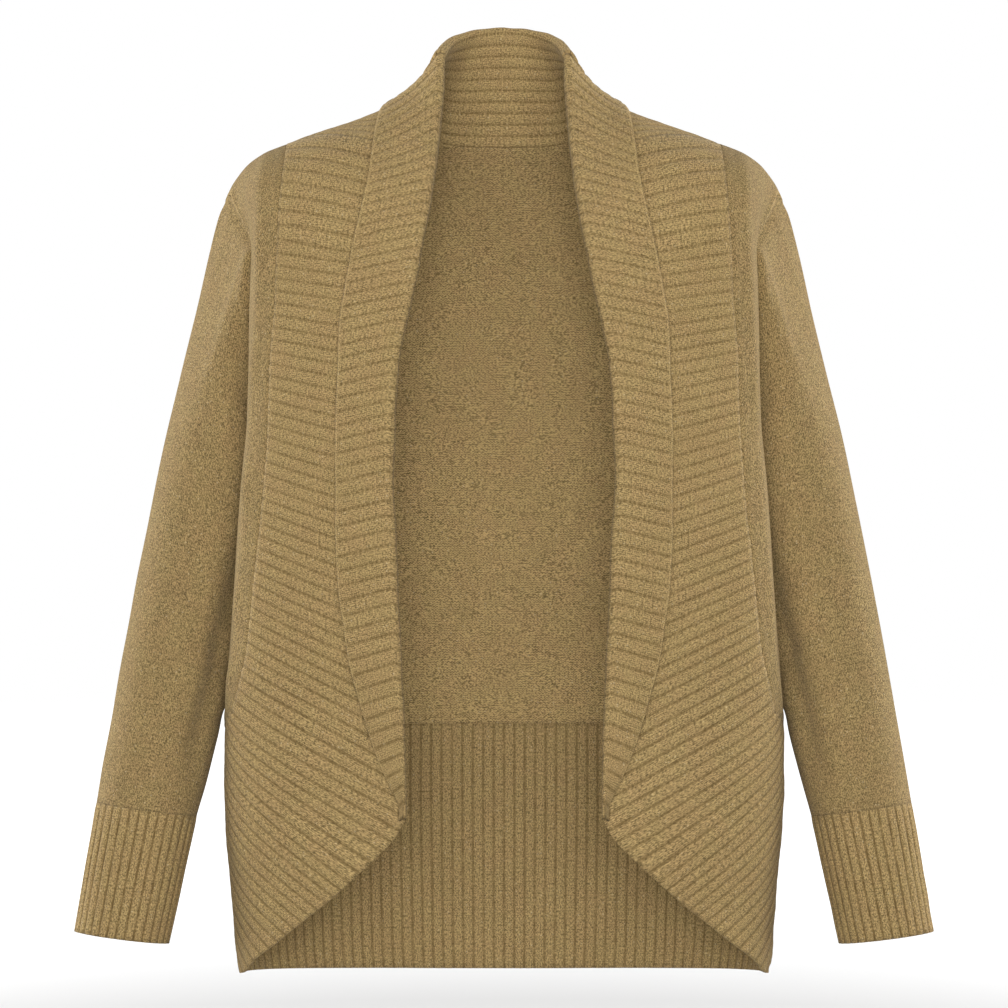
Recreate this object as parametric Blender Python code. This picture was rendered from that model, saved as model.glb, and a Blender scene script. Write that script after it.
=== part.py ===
"""Open-front knitted cardigan with a ribbed shawl collar, filled out as if worn and hollow inside.

Every piece is a cloth wall. Its points are worked out in millimetres on one torso surface, which
is lofted through the sections of TORSO, and are written to the mesh in metres. X is the wearer's
left, Y runs from front to back and Z is up. The origin lies between the shoulders, level with the
neck ends of the shoulder seams, where the wearer holds the garment up.
"""
import math

import bmesh
import bpy
import numpy as np

# ---------------------------------------------------------------- driving dimensions, mm
MM = 0.001
WALL = 2.2                 # thickness of the knitted cloth
SEAM = 0.3                 # gap between two pieces at a seam
RIB_RISE = 1.2             # height of a rib over the valley beside it
RIB_SINK = 0.5             # how far a valley lies under the plain wall's face
RIB_CREASE = 14            # least angle that a ribbed wall shows as an edge, degrees

CHEST_Z = -110.0           # level 0: above it the sections roll over to the shoulder ridge
HEM_TOP_Z = -484.0         # where the plain body ends and the ribbed hem begins
HEM_Z = -677.0
UNDERARM_LEVEL = -160.0
RIDGE_LEVEL = 100.0
SHOULDER_X = 220.0         # the dropped end of the shoulder seam
NECK_X = 75.0              # the neck end of the shoulder seam
STRIP_TOP_X = 170.0        # where the seam between band and strip meets the shoulder seam
HEM_MIDDLE_Z = -580.0

BAND_RIBS = 80             # ribs along one front band, shoulder to side seam
RIDGE_RIBS = 9             # of these, the ones that start on the shoulder seam
STRIP_RIBS = 56            # the ones above the tip of the plain side-front strip
TIP_RIBS = 62              # the ones above the side seam
HEM_RIBS = 66              # ribs across the back hem
CUFF_RIBS = 30             # ribs round one cuff
CUFF_RIDGE = (0.22, 0.78)  # the part of a cuff's rib that stands high
STAND_RIBS = 10            # ribs on the collar's stand
FALL_RIBS = 6              # ribs on the collar's fall

SHARE_MM = 300.0           # about one share of the girth, centre front to side seam
CORNER_CURVE = 1.7         # how soon the band's seam drops as it turns to the side
FOOT_SHARE = 0.965         # share of the girth where the rounded edge meets the hem's level
FOOT_RISE = 0.6

CLOTH_COLOUR = (0.39, 0.29, 0.135, 1.0)

GIRTH_LEVELS = 120         # sampling of the torso's girth
GIRTH_STEPS = 160          # from centre front to side seam, and as many on to centre back

# Sections of the torso. level: mm over the chest line, and over it per cent of the shoulder roll.
TORSO_COLUMNS = ("level", "front_x", "front_y", "side_x", "side_y",
                 "back_x", "back_y", "front_deep", "back_deep")
TORSO = (
    (-567, 207.5, -10, 207.5, 0, 206.5, 10, 110, 112),
    (-555, 210.0, -10, 210.0, 0, 209.0, 10, 111, 112),
    (-524, 212.5, -10, 212.5, 0, 211.5, 10, 112, 112),
    (-492, 215.0, -10, 215.0, 0, 214.0, 10, 113, 112),
    (-461, 218.0, -10, 218.0, 0, 217.0, 10, 115, 111),
    (-414, 220.5, -11, 220.5, 0, 219.0, 10, 117, 110),
    (-364, 219.5, -15, 217.0, 0, 216.0, 20, 119, 108),
    (-330, 217.0, -28, 208.0, 2, 208.5, 32, 121, 106),
    (-290, 213.5, -38, 196.0, 5, 200.0, 42, 123, 103),
    (-250, 210.5, -45, 184.5, 6, 191.0, 50, 125, 100),
    (-220, 208.5, -49, 172.0, 7, 184.0, 54, 126, 101),
    (-180, 205.5, -50, 158.0, 8, 179.0, 56, 126, 104),
    (-160, 203.5, -50, 150.0, 8, 178.0, 56, 126, 106),
    (-140, 201.5, -50, 150.5, 8, 179.0, 56, 126, 108),
    (-100, 200.0, -50, 155.0, 8, 181.0, 56, 124, 109),
    (-55, 199.3, -50, 165.0, 8, 184.0, 56, 120, 109),
    (-20, 198.3, -50, 180.0, 8, 187.0, 56, 115, 107),
    (0, 197.5, -50, 192.0, 6, 189.0, 55, 112, 105),
    (20, 199.0, -50, 212.0, 3, 196.0, 54, 112, 104),
    (50, 203.0, -50, 217.0, 0, 202.0, 52, 112, 104),
    (100, 206.0, -50, 220.0, 0, 206.0, 50, 112, 104),
)
FRONT_SQUARE = 2.6         # exponent of the sections' front and back arcs

# The shoulder seam's line, and how full the roll over it is.
RIDGE_COLUMNS = ("x", "z", "fullness")
RIDGE = (
    (0, 22.0, 1.55), (45, 19.0, 1.55), (60, 16.0, 1.56), (75, 12.0, 1.60), (91, 6.0, 1.70),
    (120, -5.5, 1.85), (149, -15.0, 2.00), (163, -20.0, 2.05), (186, -29.0, 2.15),
    (199, -37.0, 2.20), (212, -52.0, 2.20), (220, -68.0, 2.20), (226, -84.0, 2.20),
)

# The armhole, as the ring parameter of its front and back seams at each level.
ARMHOLE_COLUMNS = ("level", "front_seam", "back_seam")
ARMHOLE = (
    (-160, 2.00, 2.00), (-153, 1.72, 2.16), (-140, 1.58, 2.31), (-115, 1.45, 2.48),
    (-90, 1.34, 2.60), (-65, 1.24, 2.70), (-40, 1.15, 2.78), (-20, 1.08, 2.82), (0, 1.05, 2.80),
    (12, 1.22, 2.68), (30, 1.50, 2.50), (50, 1.66, 2.37), (75, 1.76, 2.26), (100, 2.00, 2.00),
)

# The seam between the ribbed band and the plain strip, down to where it turns to the side.
STRIP_SEAM_COLUMNS = ("z", "x")
STRIP_SEAM = (
    (-469, 211.5), (-460, 209.0), (-444, 205.0), (-422, 199.5), (-375, 194.5), (-335, 190.0),
    (-288, 185.5), (-242, 182.0), (-186, 180.5), (-153, 177.5), (-122, 176.5), (-86, 174.8),
    (-63, 173.5), (-40, 171.5), (-22, 170.0),
)

# The crest of the fold where the band turns back, at its outermost thread.
FOLD_COLUMNS = ("z", "x", "y")
FOLD = (
    (-551, 76.0, -112.8), (-504, 76.5, -114.3), (-458, 78.0, -116.8), (-412, 80.0, -120),
    (-381, 81.5, -122), (-335, 83.0, -124.5), (-288, 85.5, -126.5), (-242, 84.0, -126),
    (-204, 81.5, -124), (-165, 75.0, -121), (-141, 69.0, -118), (-107, 63.5, -110),
    (-82, 59.0, -97), (-52, 54.5, -77), (-28, 51.5, -57), (-1, 49.0, -34), (25, 47.0, -15),
    (47, 46.5, -0.5),
)

# The lapel's free edge.
LAPEL_EDGE_COLUMNS = ("z", "x")
LAPEL_EDGE = (
    (-551, 77.0), (-535, 82.5), (-514, 92.6), (-489, 102.0), (-458, 111.0), (-427, 119.0),
    (-396, 123.5), (-366, 127.3), (-319, 129.0), (-273, 129.0), (-242, 128.5), (-209, 127.5),
    (-165, 125.8), (-141, 122.0), (-105, 116.0), (-82, 110.8), (-55, 105.0), (-30, 101.6),
    (-5, 97.5), (5, 92.0),
)

# Where some of the band's ribs meet the outer seam, the fold's crest and the lapel's edge (z).
RIB_COLUMNS = ("rib", "seam_z", "fold_z", "edge_z")
RIB_LEVELS = (
    (0, 12, 47, 4), (9, -23, -52, -62), (19, -122, -138, -147), (30, -226, -250, -258),
    (41, -331, -373, -382), (50, -414, -477, -485), (56, -469, -549, -551),
)

# The rounded lower edge, from the end of the lapel to the foot of the side seam.
LOWER_EDGE_COLUMNS = ("rib", "x", "z")
LOWER_EDGE = (
    (56, 75.6, -549.0), (57.5, 83.4, -564.0), (59.0, 94.2, -576.0), (62.0, 119.4, -600.0),
    (65.0, 137.8, -616.5), (68.5, 159.8, -634.0), (71.5, 179.0, -650.0), (74.0, 195.0, -663.0),
    (76.0, 203.4, -674.0),
)

# The neck seam on the back panel, centre to shoulder.
NECK_SEAM_COLUMNS = ("x", "z")
NECK_SEAM = ((0, -22.0), (30, -21.5), (50, -19.0), (62, -9.0), (70, 2.0), (75, 12.0))

# The collar behind the shoulder seams: crest of its fold, and edge of its fall.
COLLAR_COLUMNS = ("turn", "base_x", "crest_x", "crest_y", "crest_z", "edge_x", "edge_y", "edge_z")
COLLAR = (
    (0, 75, 46.5, 0.5, 47, 93.5, 0.5, 8.8),
    (15, 72, 43.5, 16, 54, 92, 26, 3.5),
    (30, 66, 39, 30, 60.5, 86, 46.5, -7),
    (45, 56, 32, 42, 65.5, 71.5, 60, -17),
    (60, 42, 23.5, 51, 69, 50.5, 69.5, -25.5),
    (75, 22, 12, 56, 71.5, 25.2, 74.5, -30),
    (90, 0, 0, 58, 72.5, 0, 76, -31.5),
)

# One sleeve's sections: outer and inner points in X and Z, its middle and half depth in Y.
SLEEVE_COLUMNS = ("outer_x", "outer_z", "inner_x", "inner_z", "middle_y", "half_deep", "armhole")
SLEEVE = (
    (230.5, -102, 158.5, -273, 9, 42, 0.80),
    (243.0, -154, 162.5, -279, 11, 44, 0.50),
    (256.0, -206, 167.5, -288, 12, 45, 0.22),
    (268.0, -254, 173.0, -303, 13, 44, 0.06),
    (277.5, -300, 180.5, -323, 13, 43, 0.0),
    (288.0, -352, 195.5, -374, 13, 41, 0.0),
    (298.0, -405, 209.0, -426, 13, 39, 0.0),
    (307.0, -455, 222.0, -475, 13, 37, 0.0),
    (316.0, -505, 235.0, -524, 12, 35, 0.0),
    (322.5, -543, 243.2, -553.5, 11, 33, 0.0),
)
CUFF_END = (339.7, -645, 265.4, -654.6, 10, 31, 0.0)

TURN_RADIUS = 4.2          # of the fold's loop
TURN_RADIUS_END = 2.1      # where the lapel runs out
LAPEL_LIFT = 5.0           # the lapel's edge over the band under it
LEAST_LAPEL = 4.5          # its width where it runs out
LAPEL_PUFF = 1.5           # how far it bows out between fold and edge
TURN_RADIUS_TOP = 3.4      # of the fold's loop at the shoulder and behind
TOP_SAG = 5.5              # how far the lapel and the collar's fall sag there
SAG_RIBS = 14              # ribs down from the shoulder over which the sag runs out
SAG_TURN = 60.0            # and turn behind it, degrees
HEM_DROP = 4.8             # how much lower the hem's edge is at the centre back
LEAST_SIDE_ROOM = 1.0      # the side lies this far past the corner where the shoulder's point is
TURN_TAPER_RIBS = 12       # ribs over which the fold's loop closes up towards its end
FOLD_FREE_Z = -100.0       # from here up the fold leaves the body's surface
FOLD_FREE_RUN = 60.0       # and is clear of it this much higher
LATE_TOP = 1.3             # how late along a rib the band leaves the body: at the shoulder
LATE_LOW = 2.5             # and below the shoulder seam
UP_GUIDE = 60.0            # weight of upward against outward where normals are sorted
UNDER_LINES = 7            # lines along the band, seam to fold
UNDER_SHOWING = 4          # of these, the ones that the lapel doesn't cover
LOOP_LINES = 3
LAPEL_LINES = 2
LOW_RIBS = 46              # from here down the narrow lapel shows the layer under it
# The hidden faces take fewer lines along the ribs: a rib, and from it on one rib in so many.
SPARSE = ((0, 1), (4, 2), (16, 4), (44, 1), (56, 2), (64, 4))

SLEEVE_START = 5.0         # a sleeve's first short step off the armhole seam
LEAST_HEADING = -60.0      # how far a wall may turn at a seam, degrees off the panel it joins
MOST_HEADING = 100.0

for item in list(bpy.data.objects):
    bpy.data.objects.remove(item, do_unlink=True)
COLLECTION = bpy.data.collections.new("open_front_cardigan")
bpy.context.scene.collection.children.link(COLLECTION)


# ---------------------------------------------------------------- tables
def column(table, names, name):
    return np.array([row[names.index(name)] for row in table], float)


def ease(t):
    return t * t * (3 - 2 * t)


def unease(value):
    """The t at which ease(t) has this value."""
    return 0.5 - np.sin(np.arcsin(1 - 2 * value) / 3)


def smooth(xs, ys, x):
    """The monotone cubic curve through a table's points, at x."""
    step = np.diff(xs)
    slope = np.diff(ys) / step
    same = slope[:-1] * slope[1:] > 0
    mean = np.where(same, 2 * slope[:-1] * slope[1:] / np.where(same, slope[:-1] + slope[1:], 1), 0)
    tangent = np.concatenate([slope[:1], mean, slope[-1:]])
    x = np.clip(x, xs[0], xs[-1])
    i = np.clip(np.searchsorted(xs, x) - 1, 0, len(step) - 1)
    t = (x - xs[i]) / step[i]
    bend = t * (t - 1)
    return (ys[i] + (ys[i + 1] - ys[i]) * ease(t)
            + step[i] * bend * ((t - 1) * tangent[i] + t * tangent[i + 1]))


def look_up(table, names, name, at):
    """A named column of a table, at a value of its first column."""
    return smooth(column(table, names, names[0]), column(table, names, name), at)


# ---------------------------------------------------------------- the torso's surface
def ridge_z(x):
    return look_up(RIDGE, RIDGE_COLUMNS, "z", np.abs(x))


def fullness(x):
    return look_up(RIDGE, RIDGE_COLUMNS, "fullness", np.abs(x))


def section(ring, level):
    """Plan of the torso at a level. ring: 0 centre front, 1 front corner, 2 side seam, 4 centre back."""
    row = {name: look_up(TORSO, TORSO_COLUMNS, name, level) for name in TORSO_COLUMNS[1:]}
    half = WALL / 2
    front_x, side_x, back_x = row["front_x"] - half, row["side_x"] - half, row["back_x"] - half
    front_y, side_y, back_y = row["front_y"], row["side_y"], row["back_y"]
    part = np.clip(np.where(ring < 2, ring, 4 - ring), 0, 1)
    across = np.sin(part * math.pi / 2)
    deep = np.maximum(1 - across ** FRONT_SQUARE, 0) ** (1 / FRONT_SQUARE)
    toward_side = np.clip(np.where(ring < 2, ring - 1, 3 - ring), 0, 1)
    corner_x = np.where(ring < 2, front_x, back_x)
    corner_y = np.where(ring < 2, front_y, back_y)
    reach = np.where(ring < 2, front_y + row["front_deep"] - half, row["back_deep"] - half - back_y)
    sign = np.where(ring < 2, -1, 1)
    x = np.where(toward_side > 0, corner_x + (side_x - corner_x) * ease(toward_side), corner_x * across)
    y = corner_y + (side_y - corner_y) * toward_side + sign * reach * deep
    return x, y


def torso(ring, level):
    """Middle of the cloth at a place on the torso, right half."""
    ring = np.asarray(ring, float)
    level = np.asarray(level, float) + 0 * ring
    x, y = section(ring, level)
    turn = np.radians(np.clip(level, 0, RIDGE_LEVEL) * 90 / RIDGE_LEVEL)
    rise = np.sin(turn)
    full = fullness(x)
    keep = np.maximum(1 - rise ** full, 0) ** (1 / full)
    z = np.where(level > 0, CHEST_Z + rise * (ridge_z(x) - WALL / 2 - CHEST_Z), CHEST_Z + level)
    return np.stack([x, y * np.where(level > 0, keep, 1), z], axis=-1)


def level_of(x, z):
    """The level of the place on the torso at x and z."""
    rise = (z - CHEST_Z) / (ridge_z(x) - WALL / 2 - CHEST_Z)
    over = np.degrees(np.arcsin(np.clip(rise, 0, 1))) * RIDGE_LEVEL / 90
    return np.where(z > CHEST_Z, over, z - CHEST_Z)


def ring_of(x, level, back=False):
    """The ring parameter at x on the front or back half."""
    name = "back_x" if back else "front_x"
    wide = look_up(TORSO, TORSO_COLUMNS, name, level) - WALL / 2
    side = look_up(TORSO, TORSO_COLUMNS, "side_x", level) - WALL / 2
    part = np.degrees(np.arcsin(np.clip(x / wide, 0, 1))) / 90
    room = side - wide
    over = np.clip((x - wide) / np.maximum(room, LEAST_SIDE_ROOM), 0, 1)
    over = np.where(room > LEAST_SIDE_ROOM, over, 0)
    part = part + unease(over)
    return 4 - part if back else part


class Girth:
    """Turns distance round the torso, 0 centre front to 2 centre back, into the ring parameter."""

    def __init__(self):
        self.levels = np.linspace(HEM_Z - CHEST_Z, RIDGE_LEVEL - 1, GIRTH_LEVELS)
        self.rings = np.linspace(0, 4, 2 * GIRTH_STEPS + 1)
        points = np.stack([torso(self.rings, level) for level in self.levels])
        steps = np.linalg.norm(np.diff(points, axis=1), axis=2)
        run = np.concatenate([np.zeros((len(self.levels), 1)), np.cumsum(steps, axis=1)], axis=1)
        middle = run[:, GIRTH_STEPS:GIRTH_STEPS + 1]
        front = run / middle
        rear = 1 + (run - middle) / (run[:, -1:] - middle)
        self.share = np.where(self.rings <= 2, front, rear)

    def row(self, level):
        place = np.interp(level, self.levels, np.arange(len(self.levels)))
        low = min(int(place), len(self.levels) - 2)
        part = place - low
        return self.share[low] * (1 - part) + self.share[low + 1] * part

    def share_at(self, ring, level):
        return float(np.interp(ring, self.rings, self.row(level)))

    def ring_at(self, share, level):
        return float(np.interp(share, self.row(level), self.rings))


GIRTH = Girth()


def unit(v):
    v = np.asarray(v, float)
    return v / np.maximum(np.linalg.norm(v, axis=-1, keepdims=True), 1e-9)


def torso_normal(ring, level):
    """Outward normal of the torso's surface; on the shoulder seam, square to the seam's line."""
    if level > RIDGE_LEVEL - 2:
        x = torso(ring, level)[0]
        return unit(np.array([float(ridge_z(x - 1) - ridge_z(x + 1)), 0.0, 2.0]))
    across = torso(ring + 0.01, level) - torso(ring - 0.01, level)
    up = torso(ring, level + 0.4) - torso(ring, level - 0.4)
    return unit(np.cross(across, up))


# ---------------------------------------------------------------- building a wall
class Wall:
    """A closed cloth wall, skinned between lines of points that may be sampled unlike each other."""

    def __init__(self, side=0, crease=50):
        self.bm = bmesh.new()
        self.side = side
        self.crease = crease

    def line(self, stations, points):
        """A line of new points, kept on this piece's own side of the shoulder seam."""
        points = np.array(points)
        if self.side:
            points[:, 1] = self.side * np.maximum(points[:, 1] * self.side, SEAM / 2)
        return [(float(s), self.bm.verts.new(p)) for s, p in zip(stations, points)]

    def skin(self, one, two):
        """Faces between two lines: four-sided where both have a point, three-sided elsewhere."""
        i = j = 0
        while i < len(one) - 1 or j < len(two) - 1:
            next_one = one[i + 1][0] if i < len(one) - 1 else math.inf
            next_two = two[j + 1][0] if j < len(two) - 1 else math.inf
            a, b = one[i][1], two[j][1]
            if abs(next_one - next_two) < 1e-6:
                corners = (a, one[i + 1][1], two[j + 1][1], b)
                i, j = i + 1, j + 1
            elif next_one < next_two:
                corners = (a, one[i + 1][1], b)
                i += 1
            else:
                corners = (a, two[j + 1][1], b)
                j += 1
            if len(set(corners)) > 2:
                self.bm.faces.new(list(dict.fromkeys(corners)))

    def skins(self, lines):
        for one, two in zip(lines, lines[1:]):
            self.skin(one, two)

    def cap(self, outer, inner):
        """Closes an end, between the end points of the outer and the inner lines."""
        share = [[k / (len(side) - 1) for k in range(len(side))] for side in (outer, inner)]
        self.skin(list(zip(share[0], outer)), list(zip(share[1], inner)))

    def finish(self, name, mirror=False):
        for vert in self.bm.verts:
            vert.co *= MM
            if mirror:
                vert.co.x = -vert.co.x
        bmesh.ops.recalc_face_normals(self.bm, faces=self.bm.faces)
        mesh = bpy.data.meshes.new(name)
        self.bm.to_mesh(mesh)
        self.bm.free()
        mesh.shade_smooth()
        mesh.set_sharp_from_angle(angle=math.radians(self.crease))
        item = bpy.data.objects.new(name, mesh)
        mesh.materials.append(cloth_material(name))
        COLLECTION.objects.link(item)
        return item


def cloth_material(name):
    material = bpy.data.materials.new(name + "_knit")
    material.use_nodes = True
    shader = material.node_tree.nodes["Principled BSDF"]
    shader.inputs["Base Color"].default_value = CLOTH_COLOUR
    shader.inputs["Roughness"].default_value = 0.95
    shader.inputs["Metallic"].default_value = 0.0
    return material


def grid_normals(grid, outward):
    """Unit normals of a grid of points, on the side of the point's outward guide."""
    normals = unit(np.cross(np.gradient(grid, axis=0), np.gradient(grid, axis=1)))
    side = np.sign(np.sum(normals * outward, axis=-1, keepdims=True))
    return normals * np.where(side == 0, 1, side)


def panel(name, grid, normals, fine, coarse_rows):
    """The plain back: grid rows run up the garment, and only its outermost columns take them all."""
    wall = Wall(side=1)
    every = np.arange(grid.shape[0])
    faces = []
    for away in (WALL / 2, -WALL / 2):
        lines = []
        for k in range(grid.shape[1]):
            rows = every if k in fine else np.array(coarse_rows)
            lines.append(wall.line(rows, (grid[:, k] + normals[:, k] * away)[rows]))
        faces.append(lines)
    outer, inner = faces
    wall.skins(outer)
    wall.skins(inner)
    wall.skin(outer[0], inner[0])
    wall.skin(outer[-1], inner[-1])
    for end in (0, -1):
        wall.cap([line[end][1] for line in outer], [line[end][1] for line in inner])
    return wall.finish(name)


def tube(name, rings_out, rings_in, stations_out, stations_in, mirror=False):
    """A tube from rings of outer and inner points, each closed on itself."""
    wall = Wall()
    sides = []
    for rings, places in ((rings_out, stations_out), (rings_in, stations_in)):
        lines = []
        for ring, stations in zip(rings, places):
            line = wall.line(stations, ring)
            lines.append(line + [(stations[-1] * 2 - stations[-2], line[0][1])])
        wall.skins(lines)
        sides.append(lines)
    for end in (0, -1):
        wall.skin(sides[0][end], sides[1][end])
    return wall.finish(name, mirror)


# ---------------------------------------------------------------- the front band
def rib_level(rib, name):
    return look_up(RIB_LEVELS, RIB_COLUMNS, name, rib)


def seam_place(rib):
    """Share of the girth and level where a rib starts: shoulder seam, strip seam, then side seam."""
    if rib <= RIDGE_RIBS:
        x = NECK_X + (STRIP_TOP_X - NECK_X) * rib / RIDGE_RIBS
        return GIRTH.share_at(ring_of(x, RIDGE_LEVEL), RIDGE_LEVEL), RIDGE_LEVEL
    if rib <= STRIP_RIBS:
        z = float(rib_level(rib, "seam_z"))
        x = look_up(STRIP_SEAM, STRIP_SEAM_COLUMNS, "x", z)
        level = float(level_of(x, z))
        return GIRTH.share_at(ring_of(x, level), level), level
    if rib <= TIP_RIBS:
        share, level = seam_place(STRIP_RIBS)
        part = (rib - STRIP_RIBS) / (TIP_RIBS - STRIP_RIBS)
        tip = HEM_TOP_Z - CHEST_Z
        drop = 1 - (1 - part) ** CORNER_CURVE
        return share + (1 - share) * part, level + (tip - level) * drop
    part = (rib - TIP_RIBS) / (BAND_RIBS - TIP_RIBS)
    return 1.0, HEM_TOP_Z - CHEST_Z + (HEM_Z - HEM_TOP_Z) * part


def crest(rib):
    """The fold's crest, middle of the cloth."""
    z = float(rib_level(rib, "fold_z"))
    return np.array([look_up(FOLD, FOLD_COLUMNS, name, z) if name != "z" else z
                     for name in ("x", "y", "z")], float)


def crest_level(point):
    """Level under the fold's crest: the crest's own, or where it leaves the body, that of its depth."""
    own = float(level_of(point[0], point[2]))
    ring = ring_of(point[0], 0.0)
    share = min(abs(point[1]) / abs(float(torso(ring, 0.0)[1])), 1.0)
    full = float(fullness(point[0]))
    rise = (1 - share ** full) ** (1 / full)
    by_depth = math.degrees(math.asin(rise)) * RIDGE_LEVEL / 90
    free = ease(min(max((point[2] - FOLD_FREE_Z) / FOLD_FREE_RUN, 0.0), 1.0))
    return own + (by_depth - own) * free


def inner_place(rib):
    """Share of the girth, level and true point where a rib ends: the fold, then the lower edge."""
    if rib <= STRIP_RIBS:
        point = crest(rib)
        level = crest_level(point)
        return GIRTH.share_at(ring_of(point[0], level), level), level, point
    first = LOWER_EDGE[-1][0]
    x, z = (float(look_up(LOWER_EDGE, LOWER_EDGE_COLUMNS, name, min(rib, first)))
            for name in ("x", "z"))
    level = float(level_of(x, z))
    share = GIRTH.share_at(ring_of(x, level), level)
    if rib > first:
        part = (rib - first) / (BAND_RIBS - first)
        share += (FOOT_SHARE - share) * part
        level += (HEM_Z - CHEST_Z + FOOT_RISE - level) * part
    point = torso(GIRTH.ring_at(share, level), level)
    return share, level, point


def band_point(rib, part):
    """A point of the band's under layer. part: 0 at the seam, 1 at the fold or the lower edge."""
    seam_share, seam_level = seam_place(rib)
    share, level, end = inner_place(rib)
    here_share = seam_share + (share - seam_share) * part
    here_level = seam_level + (level - seam_level) * part
    point = torso(GIRTH.ring_at(here_share, here_level), here_level)
    reached = torso(GIRTH.ring_at(share, level), level)
    late = LATE_TOP + (LATE_LOW - LATE_TOP) * min(rib / RIDGE_RIBS, 1.0)
    return point + (end - reached) * part ** late


def lapel_edge(rib):
    """The lapel's free edge, over the band under it."""
    z = float(rib_level(rib, "edge_z"))
    fold = crest(rib)
    x = max(float(look_up(LAPEL_EDGE, LAPEL_EDGE_COLUMNS, "x", z)), fold[0] + LEAST_LAPEL)
    level = float(level_of(x, z))
    ring = float(ring_of(x, level))
    return torso(ring, level) + torso_normal(ring, level) * LAPEL_LIFT


def turn_over(last, before, out, edge, radius, bow, loop_lines, lapel_lines):
    """The loop of a fold and the layer turned back from it: middle points and under-side normals."""
    ahead = unit(last - before)
    up = unit(out - ahead * np.dot(out, ahead))
    centre = last + up * radius
    points, normals = [], []
    for k in range(1, loop_lines + 1):
        angle = math.pi * k / loop_lines
        arm = ahead * math.sin(angle) - up * math.cos(angle)
        points.append(centre + arm * radius)
        normals.append(-arm)
    start = points[-1]
    back = unit(edge - start)
    side = unit(np.cross(ahead, up))
    over = unit(np.cross(back, side))
    over = over if np.dot(over, up) > 0 else -over
    for k in range(1, lapel_lines + 1):
        part = k / lapel_lines
        rise = bow * math.sin(math.pi * part) * min(1.0, radius / TURN_RADIUS_TOP)
        points.append(start + (edge - start) * part + over * rise)
        normals.append(-over)
    normals[loop_lines - 1] = unit(-up - over)
    return points, normals


def turn_radius(rib):
    left = np.clip((STRIP_RIBS - rib) / TURN_TAPER_RIBS, 0, 1)
    full = TURN_RADIUS_TOP + (TURN_RADIUS - TURN_RADIUS_TOP) * np.clip(rib / RIDGE_RIBS, 0, 1)
    return TURN_RADIUS_END + (full - TURN_RADIUS_END) * ease(left)


def bow_height(off, reach):
    """How far a turned-back layer bows out, or sags, this far from the shoulder out of a reach."""
    return LAPEL_PUFF - (LAPEL_PUFF + TOP_SAG) * ease(np.clip(1 - off / reach, 0, 1))


def band(name, mirror):
    """A front band: under layer from seam to fold, loop, lapel, and below it the rounded corner."""
    stations = np.arange(0, 2 * BAND_RIBS + 1) / 2
    last_fold = 2 * STRIP_RIBS
    parts = np.linspace(0, 1, UNDER_LINES)
    under = np.array([[band_point(rib, part) for part in parts] for rib in stations])
    up_weight = np.where(under[..., 2:] > 0, UP_GUIDE, 1)
    guide = under * np.array([1, 1, 0]) + np.array([0, 0, 1.0]) * up_weight
    normal = grid_normals(under, guide)
    for i in range(2 * RIDGE_RIBS + 1, len(stations)):
        share, level = seam_place(stations[i])
        normal[i, 0] = torso_normal(GIRTH.ring_at(share, level), level)
    under, normal = square_to_shoulder(under, normal)
    ridge = np.arange(len(stations)) % 2 == 1
    turned, turned_normal = [], []
    for i in range(last_fold + 1):
        end = under[i, -1] - unit(under[i, -1] - under[i, -2]) * turn_radius(stations[i])
        under[i, -1] = end
        points, normals = turn_over(end, under[i, -2], normal[i, -1], lapel_edge(stations[i]),
                                    turn_radius(stations[i]), bow_height(stations[i], SAG_RIBS),
                                    LOOP_LINES, LAPEL_LINES)
        turned.append(points)
        turned_normal.append(normals)
    turned, turned_normal = np.array(turned), np.array(turned_normal)
    turned[0, :, 1] = -SEAM / 2
    turned_normal[0, :, 1] = 0
    turned_normal[0] = unit(turned_normal[0])

    wall = Wall(side=-1, crease=RIB_CREASE)
    plain = sparse_rows()
    folded_plain = [i for i in plain if i <= last_fold]
    dense = list(range(len(stations)))
    half = WALL / 2
    raised = np.where(ridge, half + RIB_RISE - RIB_SINK, half - RIB_SINK)[:, None]
    outer, inner = [], []
    covered = [i for i in plain if i < 2 * LOW_RIBS]
    below = [i for i in plain if i <= last_fold] + [i for i in dense[::2] if i > last_fold]
    hidden_rows = {0: dense[::2], UNDER_LINES - 1: below}
    for k in range(UNDER_LINES):
        rows = dense if k < UNDER_SHOWING else covered + dense[2 * LOW_RIBS:]
        lift = np.where((k < UNDER_SHOWING) | (stations[:, None] >= LOW_RIBS), raised, half)
        outer.append(wall.line(stations[rows], (under[:, k] + normal[:, k] * lift)[rows]))
        few = hidden_rows.get(k, plain)
        inner.append(wall.line(stations[few], (under[:, k] - normal[:, k] * half)[few]))
    fold_rows = dense[:last_fold + 1]
    outer_turned, inner_turned = [], []
    for k in range(LOOP_LINES + LAPEL_LINES):
        shape, away = turned[:, k], turned_normal[:, k]
        few = folded_plain if k < LOOP_LINES + LAPEL_LINES - 1 else fold_rows[::2]
        outer_turned.append(wall.line(stations[few], (shape + away * half)[few]))
        inner_turned.append(wall.line(stations[fold_rows], shape - away * raised[:last_fold + 1]))
    wall.skins(outer)
    wall.skins(inner)
    wall.skin(outer[0], inner[0])
    wall.skins([upto(outer[-1], STRIP_RIBS)] + outer_turned)
    wall.skins([upto(inner[-1], STRIP_RIBS)] + inner_turned)
    wall.skin(outer_turned[-1], inner_turned[-1])
    wall.skin(beyond(outer[-1], STRIP_RIBS), beyond(inner[-1], STRIP_RIBS))
    wall.cap([line[0][1] for line in outer + outer_turned], [line[0][1] for line in inner + inner_turned])
    wall.cap([line[-1][1] for line in outer], [line[-1][1] for line in inner])
    wall.cap([upto(outer[-1], STRIP_RIBS)[-1][1]] + [line[-1][1] for line in outer_turned],
             [upto(inner[-1], STRIP_RIBS)[-1][1]] + [line[-1][1] for line in inner_turned])
    return wall.finish(name, mirror)


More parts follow.
